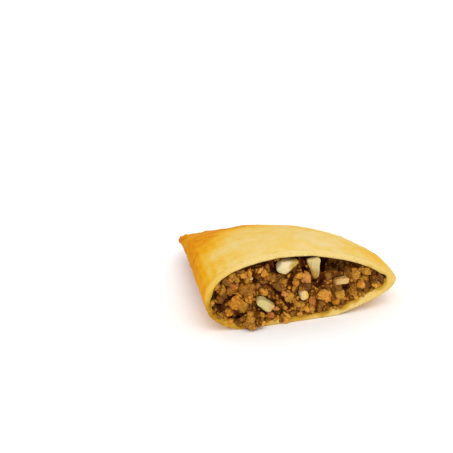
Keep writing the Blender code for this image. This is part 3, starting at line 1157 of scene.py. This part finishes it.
CREVICES = tuple(
    Crevice((start_x * MM, start_z * MM), (end_x * MM, end_z * MM), half_width * MM)
    for start_x, start_z, end_x, end_z, half_width in (
        (-33.5, 17.6, -33.3, 15.6, 0.7),
        (-32.4, 11.8, -31.6, 10.2, 1.4),
        (-31.5, 12.2, -27.0, 15.0, 0.9),
        (-18.5, 23.2, -17.8, 20.3, 0.6),
        (-3.2, 20.4, -4.0, 16.8, 0.7),
        (-12.9, 17.8, -9.6, 14.7, 0.7),
        (-9.6, 14.7, -4.8, 7.1, 0.9),
        (-25.4, 6.0, -22.4, 7.2, 0.9),
        (-17.4, 6.4, -15.0, 6.2, 0.5),
        (-9.0, 3.9, -8.0, 4.2, 0.6),
        (4.1, 16.8, 6.1, 14.3, 0.7),
        (8.2, 24.6, 7.8, 15.4, 1.1),
        (20.2, 21.8, 22.2, 20.8, 1.3),
        (16.5, 12.2, 18.2, 12.2, 0.8),
        (-21.0, 25.9, -16.6, 25.8, 0.7),
        (-15.4, 26.8, -11.2, 27.2, 0.8),
        (-11.3, 26.8, -10.8, 24.0, 0.9),
        (-3.4, 27.7, 2.2, 27.3, 0.6),
        (0.6, 25.8, 1.8, 21.2, 0.8),
    )
)
LANDMARKS = tuple(
    Landmark(kind, along * MM, height * MM, radius * MM, *looks)
    for kind, along, height, radius, *looks in (
        (Kind.BROWN, -30.2, 17.8, 2.6, 0.68, (0.66, 0.9, 1.3)),
        (Kind.AMBER, -22.4, 23.0, 2.2, 0.62, (1.1, 1.0, 0.9)),
        (Kind.BROWN, -26.2, 23.6, 1.7, 0.5),
        (Kind.AMBER, -14.9, 23.1, 2.6, 0.6, (0.85, 1.0, 1.08)),
        (Kind.AMBER, -10.9, 20.1, 1.6, 0.7, (1.15, 1.0, 0.75)),
        (Kind.ROSY, -25.3, 18.7, 2.2, 0.4),
        (Kind.BROWN, -21.4, 16.6, 2.8, 0.42, (1.2, 1.0, 0.9)),
        (Kind.AMBER, -25.3, 11.2, 3.1, 0.36, (1.15, 1.0, 0.9)),
        (Kind.ROSY, -17.0, 17.8, 1.3, 0.6),
        (Kind.AMBER, -14.2, 15.0, 2.4, 0.75, (1.15, 1.0, 0.85)),
        (Kind.DARK, -19.7, 10.0, 2.5, 0.7),
        (Kind.ROSY, -7.2, 15.6, 1.6, 0.7),
        (Kind.BROWN, -6.7, 18.8, 1.7, 0.5),
        (Kind.BROWN, -4.2, 11.4, 2.2, 0.86, (0.95, 1.0, 1.15)),
        (Kind.ROSY, 1.5, 18.0, 2.3, 0.7, (0.85, 1.0, 1.15)),
        (Kind.AMBER, -1.6, 16.6, 1.5, 0.45),
        (Kind.AMBER, 8.4, 10.9, 2.4, 0.7, (1.25, 1.0, 0.75)),
        (Kind.BROWN, 14.7, 9.4, 2.3, 0.88),
        (Kind.AMBER, 1.5, 4.8, 1.8, 0.75),
        (Kind.AMBER, -1.0, 2.7, 1.3, 0.5),
        (Kind.ROSY, 4.4, 8.0, 2.0, 0.4, (0.8, 1.0, 1.4)),
        (Kind.BROWN, 21.2, 17.6, 2.0, 0.7),
        (Kind.BROWN, 24.6, 14.8, 2.2, 0.58),
        (Kind.DARK, 28.6, 13.4, 1.7, 0.6, (0.9, 1.0, 1.2)),
        (Kind.ROSY, 10.4, 14.7, 1.1, 0.3),
        (Kind.DARK, 15.8, 22.1, 2.2, 0.6),
        (Kind.BROWN, 19.9, 9.7, 2.1, 0.5),
        (Kind.BROWN, -19.9, 3.0, 1.7, 0.65, (1.1, 1.0, 0.9)),
        (Kind.ROSY, -12.4, 4.2, 2.0, 0.45, (1.2, 1.0, 0.8)),
        (Kind.AMBER, -28.2, 7.7, 1.8, 0.5),
        (Kind.ONION, -19.4, 21.2, 0.8, 0.5, (1.2, 1.0, 0.8)),
        (Kind.DARK, 31.3, 13.7, 1.9, 0.4, (0.95, 1.4, 1.25)),
        (Kind.ROSY, -10.3, 7.0, 1.1, 1.0, (1.4, 1.0, 0.8)),
        (Kind.ROSY, -6.6, 13.0, 1.3, 0.75, (1.2, 1.0, 0.9)),
    )
)
# The hollow under the top crust isn't left empty: nearly all crumbs there are dark, as painted shade
# under the top crust.
HOLLOW = Crevice((9.5 * MM, 19.6 * MM), (16.5 * MM, 21.4 * MM), 3.8 * MM)


def seen_on_cut(points: np.ndarray) -> np.ndarray:
    """Follows the photograph's lines of sight through points to the plane of the cut.

    Args:
        points: One row for each point.

    Returns:
        For each point its place on the cut, along it and in height.
    """
    eye = np.array(Studio().eye())
    way = points - eye
    return (eye + way * ((CUT_Y - eye[1]) / way[:, 1:2]))[:, [0, 2]]


def crevice_clearance(points: np.ndarray) -> np.ndarray:
    """Measures how far points are from the nearest crevice, as the photograph sees them."""
    seen = seen_on_cut(points)
    return np.min([crevice.clearance(seen) for crevice in CREVICES], axis=0)


@dataclass(frozen=True)
class Grade:
    """Crumbs of one size.

    Each try throws one. Packing is how near two may lie, as a share of their half widths
    together. Facing is how much the heap has to face the cut. Sink, how deep a crumb lies in
    the heap, and clearance, how far its middle keeps off the crust, are shares of its half
    width. Gap painted shade makes the small crumbs that fill the gaps darker than drawn.
    """

    tries: int
    radii: Span
    packing: float
    facing: float
    sink: float
    clearance: float
    subdivisions: int
    gap_painted_shade: float = 0.0
    on_lip: bool = False


@dataclass
class Surroundings:
    """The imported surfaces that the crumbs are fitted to, each as a search tree."""

    heap: BVHTree = field(default_factory=lambda: search_tree(FILLING_NODE))
    crust: BVHTree = field(default_factory=lambda: search_tree(CRUST_NODE))
    onions: list[BVHTree] = field(default_factory=lambda: [search_tree(n) for n in ONION_NODES])
    step_back: float = 25 * MM
    wall_depth: float = 4 * MM
    face_depth: float = 0.3 * MM
    lip_top: float = 13 * MM
    onion_room: float = 0.8

    def start(self, x: float, z: float, direction: Vector) -> Vector:
        """Steps back from a place on the cut, against the way that a line runs."""
        return Vector((x, CUT_Y, z)) - direction * self.step_back

    def surface(self, x: float, z: float, direction: Vector) -> tuple[Vector, Vector] | None:
        """Looks into the cut.

        Args:
            x: Where the line crosses the cut, along it.
            z: Where the line crosses the cut, in height.
            direction: Which way the line runs.

        Returns:
            The point of the heap that the line meets and the way the heap faces there, or None
            where the crust is in the way or the line misses.
        """
        start = self.start(x, z, direction)
        point, normal, _, distance = self.heap.ray_cast(start, direction)
        wall = self.crust.ray_cast(start, direction)[3]
        if point is None or (wall is not None and wall < distance):
            return None
        return point, normal

    def lip(
        self, x: float, z: float, direction: Vector, reach: float
    ) -> tuple[Vector, Vector, bool] | None:
        """Looks at the crust's lower edge and the floor just behind it.

        Args:
            x: Where the line crosses the cut, along it.
            z: Where the line crosses the cut, in height.
            direction: Which way the line runs.
            reach: How far from the heap a place on the cut face may be.

        Returns:
            The point of the crust that shows there, the way it faces and whether it is on the
            cut face, or None where there is no crust or the heap is too far off.
        """
        start = self.start(x, z, direction)
        point, normal, _, distance = self.crust.ray_cast(start, direction)
        hidden = self.heap.ray_cast(start, direction)[3]
        if point is None or point.y > CUT_Y + self.wall_depth or point.z > self.lip_top:
            return None
        on_face = point.y < CUT_Y + self.face_depth
        is_far = on_face and self.heap.find_nearest(point)[3] > reach
        if is_far or (hidden or math.inf) < distance:
            return None
        return point, normal, on_face

    def is_clear(self, middle: Vector, radius: float, clearance: float) -> bool:
        """Tells whether a crumb keeps off the crust, the onion, the ground and the box.

        Args:
            middle: The crumb's middle.
            radius: Its half width.
            clearance: How far its middle keeps off the crust, as a share of its half width.

        Returns:
            Whether there is room for it.
        """
        if middle.y - radius < CAD_BOX[0].y or middle.z - radius < CAD_BOX[0].z:
            return False
        if self.outside(self.crust, middle) < clearance * radius:
            return False
        return self.is_off_onion(middle, self.onion_room * radius)

    def is_off_onion(self, middle: Vector, radius: float) -> bool:
        """Tells whether a ball keeps off every die of onion."""
        return all(self.outside(onion, middle) > radius for onion in self.onions)

    @staticmethod
    def outside(tree: BVHTree, middle: Vector) -> float:
        """Measures how far a point is outside a surface, below 0 inside it."""
        point, normal, _, distance = tree.find_nearest(middle)
        return math.copysign(distance, (middle - point).dot(normal))


@dataclass
class MinceBed:
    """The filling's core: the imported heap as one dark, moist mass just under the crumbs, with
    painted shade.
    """

    voxel: float = 0.55 * MM
    rounds: int = 3
    recess: float = 0.4 * MM
    crevice_depth: float = 1.0 * MM
    crevice_slope: float = 0.9 * MM
    crevice_facing: Span = (-0.1, -0.5)
    # Painted shade: how much darker the tone is in the crevices between the crumbs.
    crevice_painted_shade: float = 0.6
    knobs: tuple[Ripple, ...] = (
        Ripple(0.38 * MM, 1.5 * MM),
        Ripple(0.19 * MM, 0.75 * MM, 4.0),
    )
    calming: int = 1
    calming_push: float = 0.3
    tone: float = 0.42
    mottle: Ripple = Ripple(0.25, 3 * MM, 8.0)
    # Painted shade: the tone darkens from 2.5 mm to 7 mm behind the cut.
    shade: Fade = Fade(0.7, CUT_Y + 2.5 * MM, CUT_Y + 7 * MM)
    finish: MinceFinish = MinceFinish(
        "mince_bed", (68, 27, 5), (106, 60, 10), (156, 98, 32), moisture=0.05
    )

    def build(self) -> bpy.types.Object:
        """Builds the core.

        Returns:
            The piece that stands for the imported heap, under its crumbs.
        """
        skin = Skin(even_mesh("mince_bed", merged_copy(FILLING_NODE), self.voxel))
        skin.relax(self.rounds)
        knobs = sum(ripple.at(skin.points) for ripple in self.knobs)
        crevice = ease(crevice_clearance(skin.points), self.crevice_slope, 0.0)
        crevice *= ease(skin.normals()[:, 1], *self.crevice_facing)
        skin.lift(knobs - self.recess - self.crevice_depth * crevice)
        skin.relax(self.calming, push=self.calming_push)
        skin.settle()
        tone = self.tone + self.mottle.at(skin.points)
        # Painted shade: darker deeper behind the cut and in the crevices.
        tone *= 1 - self.shade.at(skin.points[:, 1])
        skin.mark("tone", tone - self.crevice_painted_shade * crevice)
        return present("mince_bed", skin.mesh, self.finish, Slot.MINCE, [FILLING_NODE])


@dataclass
class Mince:
    """The crumbs of minced meat at the cut, with small bits of onion among them."""

    grades: tuple[Grade, ...] = (
        Grade(1500, (2.5 * MM, 3.2 * MM), 0.64, 0.2, 0.65, 0.6, 5),
        Grade(3000, (1.9 * MM, 2.5 * MM), 0.64, 0.2, 0.65, 0.6, 4),
        Grade(6000, (1.2 * MM, 1.9 * MM), 0.62, 0.1, 0.5, 0.5, 4),
        # The small grades get painted shade, being darker where they fill the gaps.
        Grade(9000, (0.5 * MM, 1.0 * MM), 0.64, 0.0, 0.45, 0.4, 2, gap_painted_shade=0.14),
        Grade(6000, (1.0 * MM, 1.7 * MM), 0.56, -1.0, -0.1, 0.0, 3, on_lip=True),
        Grade(9000, (0.4 * MM, 0.9 * MM), 0.6, -1.0, -0.1, 0.0, 2, gap_painted_shade=0.1, on_lip=True),
    )
    ways_in: tuple[Vector, ...] = (Vector((0, 1, 0)), Vector((0.19, 0.86, -0.47)).normalized())
    rise_share: float = 0.5
    crevice_margin: float = 0.58
    lip_reach: Span = (0.1 * MM, 2.6 * MM)
    lip_middle: float = -17 * MM
    lip_spread: float = 11 * MM
    landmarks: tuple[Landmark, ...] = LANDMARKS
    landmark_sink: float = 0.4
    landmark_subdivisions: int = 5
    landmark_room: float = 0.9
    shrinking: float = 0.9
    least_radius: float = 0.5 * MM
    shares: tuple[tuple[Kind, float], ...] = (
        (Kind.BROWN, 0.475),
        (Kind.AMBER, 0.23),
        (Kind.ROSY, 0.11),
        (Kind.DARK, 0.18),
        (Kind.ONION, 0.005),
    )
    largest_rosy: float = 1.8 * MM
    least_amber: float = 0.8 * MM
    # Painted shade: most crumbs deeper than this behind the cut, and most in the hollow, are dark.
    painted_shade_depth: float = 2.4 * MM
    painted_shade_share: float = 0.85
    planes: int = 9
    plane_depths: Span = (0.6, 1.05)
    plane_sharpness: int = 7
    body: float = 0.84
    lumps: Ripple = Ripple(0.26, 0.9)
    folds: tuple[Ripple, ...] = (Ripple(0.34, 0.55), Ripple(0.22, 0.25), Ripple(0.12, 0.12))
    coarse_subdivisions: int = 3
    onion_folds: float = 0.25
    combing: float = 0.6
    pattern_room: float = 100
    stretches: Span = (0.6, 1.38)
    shades: Span = (0.45, 0.84)
    # Painted shade: each crumb's tone runs darker in the creases between its folds and paler on them.
    fold_painted_shade: float = 1.4
    fold_middle: float = 0.14
    seed: int = 21
    chunks: dict[Kind, bmesh.types.BMesh] = field(default_factory=dict)

    def build(self) -> list[bpy.types.Object]:
        """Builds the crumbs.

        Returns:
            One piece for each kind of crumb.
        """
        draw = random.Random(self.seed)
        around = Surroundings()
        placed: list[Spot] = []
        for mark in self.landmarks:
            placed.append(self.settle(mark, around))
            self.add_crumb(placed[-1], mark.kind, self.landmark_subdivisions, draw, mark)
        for grade in self.grades:
            for spot in self.scatter(grade, around, placed, draw):
                placed.append(spot)
                kind = self.draw_kind(spot, grade, draw)
                fineness = grade.subdivisions - (kind is Kind.DARK)
                self.add_crumb(spot, kind, fineness, draw, gap_painted_shade=grade.gap_painted_shade)
        log.info("%d crumbs placed", len(placed))
        return [self.finish_kind(kind, chunk) for kind, chunk in self.chunks.items()]

    def settle(self, mark: Landmark, around: Surroundings) -> Spot:
        """Finds where a landmark lies, and how large it can be beside the onion.

        Args:
            mark: The landmark.
            around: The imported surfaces.

        Returns:
            Its place, with a smaller half width where the onion needs the room.
        """
        on_cut = Vector((mark.along, CUT_Y, mark.height))
        sight = (on_cut - Studio().eye()).normalized()
        found = around.surface(mark.along, mark.height, sight) or (on_cut, Vector((0, -1, 0)))
        radius = mark.radius
        middle = found[0] - found[1] * radius * self.landmark_sink
        while radius > self.least_radius:
            if around.is_off_onion(middle, self.landmark_room * radius):
                break
            radius *= self.shrinking
        return Spot(middle, radius)

    def scatter(
        self, grade: Grade, around: Surroundings, placed: list[Spot], draw: random.Random
    ) -> Iterable[Spot]:
        """Throws crumbs of one size at the heap and keeps those that find room.

        Args:
            grade: The crumbs' size and how closely they pack.
            around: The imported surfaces.
            placed: The crumbs that are there already, which grow as each one is taken.
            draw: The random numbers.

        Yields:
            The place of each crumb that finds room.
        """
        low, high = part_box(FILLING_NODE)
        for _ in range(grade.tries):
            x = draw.uniform(low.x, high.x)
            z = draw.uniform(low.z, high.z)
            radius = draw.uniform(*grade.radii)
            if grade.on_lip:
                found = around.lip(x, z, self.ways_in[1], draw.uniform(*self.lip_reach))
                rarity = ((x - self.lip_middle) / self.lip_spread) ** 2
                if draw.random() > math.exp(-rarity) and found and found[2]:
                    continue
            else:
                found = around.surface(x, z, draw.choice(self.ways_in))
            if found is None or self.rise_share * found[1].z - found[1].y < grade.facing:
                continue
            middle = found[0] - found[1] * radius * grade.sink
            if crevice_clearance(np.array([middle]))[0] < self.crevice_margin * radius:
                continue
            if not around.is_clear(middle, radius, grade.clearance):
                continue
            if all((middle - s.middle).length > grade.packing * (radius + s.radius) for s in placed):
                yield Spot(middle, radius)

    def draw_kind(self, spot: Spot, grade: Grade, draw: random.Random) -> Kind:
        """Draws what a crumb is made of.

        Args:
            spot: Where it sits. In the hollow and deep inside, most crumbs are dark, as painted
                shade.
            grade: Its grade. On the lip there is neither rosy mince nor onion.
            draw: The random numbers.

        Returns:
            Its kind, which is brown where the kind that was drawn doesn't suit its size or its
            place.
        """
        # Painted shade: dark crumbs deep inside and in the hollow.
        is_deep = spot.middle.y > CUT_Y + self.painted_shade_depth
        is_in_hollow = HOLLOW.clearance(seen_on_cut(np.array([spot.middle])))[0] < 0
        if (is_deep or is_in_hollow) and draw.random() < self.painted_shade_share:
            return Kind.DARK
        kinds, weights = zip(*self.shares)
        kind = draw.choices(kinds, weights)[0]
        unsuited = {
            Kind.ROSY: grade.on_lip or spot.radius > self.largest_rosy,
            Kind.AMBER: spot.radius < self.least_amber,
            Kind.ONION: grade.on_lip,
        }
        return Kind.BROWN if unsuited.get(kind) else kind

    def add_crumb(
        self,
        spot: Spot,
        kind: Kind,
        subdivisions: int,
        draw: random.Random,
        mark: Landmark | None = None,
        gap_painted_shade: float = 0.0,
    ) -> None:
        """Shapes a crumb and adds it to its kind.

        Args:
            spot: Where it sits.
            kind: Which kind of mince it is.
            subdivisions: How fine its faces are.
            draw: The random numbers.
            mark: The landmark that it is, which gives its form and shade, or None where they and
                its turn are drawn.
            gap_painted_shade: How much darker it is than drawn, as painted shade for a small crumb in
                the gaps.
        """
        crumb = bmesh.new()
        bmesh.ops.create_icosphere(crumb, subdivisions=subdivisions, radius=1.0)
        ways = np.array([vertex.co.normalized() for vertex in crumb.verts])
        facets = np.array([self.draw_way(draw) for _ in range(self.planes)])
        depths = np.array([draw.uniform(*self.plane_depths) for _ in range(self.planes)])
        pressed = np.clip(ways @ facets.T, 0, None) / depths
        pressed = (pressed**self.plane_sharpness).sum(axis=1)
        reach = (1 + pressed) ** (-1 / self.plane_sharpness)
        shift = draw.uniform(0, self.pattern_room)
        strand = np.array(self.draw_way(draw))
        combed = ways - self.combing * (ways @ strand)[:, None] * strand
        ripples = self.folds if subdivisions > self.coarse_subdivisions else self.folds[:-1]
        folds = sum(abs(ripple.at(combed, shift)) for ripple in ripples)
        folds *= self.onion_folds if kind is Kind.ONION else 1.0
        reach *= self.body + self.lumps.at(ways, shift) + folds
        stretch = Vector(mark.form if mark else [draw.uniform(*self.stretches) for _ in range(3)])
        angle = 0.0 if mark else draw.uniform(0, 2 * math.pi)
        turn = Matrix.Rotation(angle, 3, Vector(facets[0]))
        # Painted shade: small crumbs in the gaps are drawn darker.
        shade = mark.shade if mark else draw.uniform(*self.shades) - gap_painted_shade
        tone = crumb.verts.layers.float.new("tone")
        for vertex, way, length, fold in zip(crumb.verts, ways, reach, folds):
            shaped = turn @ (Vector(way * length) * stretch)
            vertex.co = spot.middle + shaped * spot.radius
            # Painted shade in the creases, paler on the folds.
            vertex[tone] = shade + self.fold_painted_shade * (fold - self.fold_middle)
        loose = new_mesh("crumb", crumb)
        self.chunks.setdefault(kind, bmesh.new()).from_mesh(loose)
        bpy.data.meshes.remove(loose)

    @staticmethod
    def draw_way(draw: random.Random) -> Vector:
        """Draws a direction."""
        return Vector([draw.gauss(0, 1) for _ in range(3)]).normalized()

    @staticmethod
    def finish_kind(kind: Kind, chunk: bmesh.types.BMesh) -> bpy.types.Object:
        """Makes one piece of all crumbs of a kind.

        Args:
            kind: The kind.
            chunk: All of its crumbs, which are freed.

        Returns:
            The piece.
        """
        mesh = new_mesh(kind.value, chunk)
        Skin(mesh).settle()
        slot = Slot.ONION if kind is Kind.ONION else Slot.MINCE
        return present(kind.value, mesh, FINISHES[kind], slot, [FILLING_NODE])


# ---------------------------------------------------------------------------------------------
# Onion
# ---------------------------------------------------------------------------------------------


@dataclass
class OnionDie:
    """One die of cooked onion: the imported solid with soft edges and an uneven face.

    It turns from the finish's flesh to its vein along the fade, which starts at fade_from, where
    0 is the die's middle and 1 its side. A trim cuts off a corner: it is the angle of the cut,
    from +X towards +Z in degrees, and its depth.
    """

    node: str
    finish: OnionFinish
    fade: Vector
    fade_from: float = -0.3
    trims: tuple[tuple[float, float], ...] = ()
    fade_width: float = 0.9
    fade_waver: Ripple = Ripple(0.25, 2 * MM, 3.0)
    voxel: float = 0.22 * MM
    rounding: float = 45
    rounded_side: float = 5.5 * MM
    dents: Ripple = Ripple(0.35 * MM, 2.2 * MM)

    def build(self) -> bpy.types.Object:
        """Builds the die.

        Returns:
            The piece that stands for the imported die.
        """
        low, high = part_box(self.node)
        skin = Skin(even_mesh(self.node, self.trimmed(), self.voxel))
        share = min(high - low) / self.rounded_side
        skin.relax(round(self.rounding * share**2), push=0.0)
        skin.lift(share * self.dents.at(skin.points))
        skin.settle()
        least, most = skin.points.min(axis=0), skin.points.max(axis=0)
        away = (2 * skin.points - least - most) / (most - least)
        ends = away @ np.array(self.fade) + self.fade_waver.at(skin.points)
        skin.mark("tip", ease(ends, self.fade_from, self.fade_from + self.fade_width))
        return present(self.node + "_flesh", skin.mesh, self.finish, Slot.ONION, [self.node])

    def trimmed(self) -> bmesh.types.BMesh:
        """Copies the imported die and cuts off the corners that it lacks.

        Returns:
            The trimmed die, closed again.
        """
        shape = merged_copy(self.node)
        for angle, depth in self.trims:
            outward = Vector((math.cos(math.radians(angle)), 0, math.sin(math.radians(angle))))
            edge = max(corner.co.dot(outward) for corner in shape.verts) - depth
            parts = [*shape.verts, *shape.edges, *shape.faces]
            cut = bmesh.ops.bisect_plane(
                shape, geom=parts, plane_co=outward * edge, plane_no=outward, clear_outer=True
            )
            rim = [part for part in cut["geom_cut"] if isinstance(part, bmesh.types.BMEdge)]
            bmesh.ops.contextual_create(shape, geom=rim)
        return shape


def onion_dice() -> Iterable[OnionDie]:
    """Names the finish of each die, how it yellows and which corners it lacks.

    Yields:
        Each die of onion, in the order of its nodes.
    """
    white = OnionFinish("onion_white", (224, 206, 158), (178, 144, 34))
    cream = OnionFinish("onion_cream", (206, 186, 124), (160, 118, 26))
    yellow = OnionFinish("onion_yellow", (216, 192, 134), (222, 176, 60))
    green = OnionFinish("onion_green", (202, 190, 122), (200, 152, 82))
    tan = OnionFinish("onion_tan", (214, 176, 106), (176, 130, 58))
    looks = (
        (white, Vector((1.1, 0, -0.5)), -0.4, ((-50, 3.1 * MM), (135, 1.9 * MM))),
        (cream, Vector((-0.5, 0, -0.7)), -0.4, ()),
        (yellow, Vector((0.7, 0, 0)), -0.3, ((45, 0.4 * MM),)),
        (green, Vector((0.9, 0, -0.3)), 0.1, ((50, 1.8 * MM), (-135, 1.2 * MM), (100, 0.7 * MM))),
        (tan, Vector((-0.7, 0, 0.4)), 0.0, ()),
    )
    for node, look in zip(ONION_NODES, looks):
        yield OnionDie(node, *look)


# ---------------------------------------------------------------------------------------------
# Studio
# ---------------------------------------------------------------------------------------------


@dataclass
class Studio:
    """The plain pale floor, the soft light and the camera at the photograph's angle.

    The camera's target is the point above the part that lies in the middle of the photograph.
    """

    floor_size: float = 6.0
    floor_drop: float = 0.05 * MM
    floor_colour: Colour = (250, 250, 250)
    floor_roughness: float = 0.9
    floor_gloss: float = 0.1
    sky: float = 1.0
    key_place: Vector = field(default_factory=lambda: Vector((0.05, -0.5, 0.75)))
    key_size: float = 0.5
    key_power: float = 2.3
    key_target: Vector = field(default_factory=lambda: Vector((-2.5, -21.8, 14.0)) * MM)
    elevation: float = math.radians(26.2)
    azimuth: float = math.radians(10.06)
    roll: float = math.radians(3.28)
    distance: float = 0.6
    target: Vector = field(default_factory=lambda: Vector((-23.34, -7.91, 32.56)) * MM)
    image: int = 453
    pixels_per_mm: float = 2.586
    sensor: float = 36.0
    clip_start: float = 0.01

    def build(self) -> None:
        """Builds the floor, the lights and the camera."""
        self.lay_floor()
        self.light()
        self.aim_camera()
        bpy.context.scene.view_settings.view_transform = "Standard"

    def lay_floor(self) -> None:
        """Lays the floor just under the part."""
        shape = bmesh.new()
        bmesh.ops.create_grid(shape, x_segments=1, y_segments=1, size=self.floor_size / 2)
        bmesh.ops.translate(shape, vec=Vector((0, 0, -self.floor_drop)), verts=shape.verts)
        mesh = new_mesh("floor", shape)
        fixed = {
            "Base Color": linear(self.floor_colour),
            "Roughness": self.floor_roughness,
            "Specular IOR Level": self.floor_gloss,
        }
        mesh.materials.append(start_material("floor", fixed)[0])
        floor = new_object("floor", mesh)
        floor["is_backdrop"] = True

    def light(self) -> None:
        """Sets an even white sky and one broad lamp high in front."""
        world = bpy.data.worlds.new("studio")
        world.use_nodes = True
        background = world.node_tree.nodes["Background"]
        background.inputs["Color"].default_value = (1.0, 1.0, 1.0, 1.0)
        background.inputs["Strength"].default_value = self.sky
        bpy.context.scene.world = world
        lamp = bpy.data.lights.new("key", "AREA")
        lamp.shape = "SQUARE"
        lamp.size = self.key_size
        lamp.energy = self.key_power
        holder = new_object("key", lamp)
        holder.location = self.key_place
        holder.rotation_mode = "QUATERNION"
        holder.rotation_quaternion = (self.key_target - self.key_place).to_track_quat("-Z", "Y")

    def ahead(self) -> Vector:
        """Tells which way the camera looks."""
        level = Vector((math.sin(self.azimuth), math.cos(self.azimuth), 0))
        return level * math.cos(self.elevation) - Vector((0, 0, math.sin(self.elevation)))

    def eye(self) -> Vector:
        """Tells where the camera stands."""
        return self.target - self.ahead() * self.distance

    def aim_camera(self) -> None:
        """Aims the camera along the fitted view, turned by its roll."""
        ahead = self.ahead()
        right = Vector((math.cos(self.azimuth), -math.sin(self.azimuth), 0))
        up = right.cross(ahead)
        side = right * math.cos(self.roll) - up * math.sin(self.roll)
        top = right * math.sin(self.roll) + up * math.cos(self.roll)
        data = bpy.data.cameras.new("camera")
        data.sensor_width = self.sensor
        data.lens = self.sensor * self.distance / (self.image / self.pixels_per_mm * MM)
        data.clip_start = self.clip_start
        camera = new_object("camera", data)
        turned = Matrix((side, top, -ahead)).transposed().to_4x4()
        camera.matrix_world = Matrix.Translation(self.eye()) @ turned
        bpy.context.scene.camera = camera


def note_sizes() -> None:
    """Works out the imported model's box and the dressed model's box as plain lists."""
    boxes = {"cad": CAD_BOX, "visual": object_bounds()}
    plain = {name: [list(corner) for corner in corners] for name, corners in boxes.items()}


def main() -> None:
    """Builds the crust, the filling and the onion, then the studio around them."""
    logging.basicConfig(level=logging.INFO, format="%(message)s")
    Crust().build()
    MinceBed().build()
    Mince().build()
    for die in onion_dice():
        die.build()
    Studio().build()
    note_sizes()


if __name__ == "__main__":
    main()
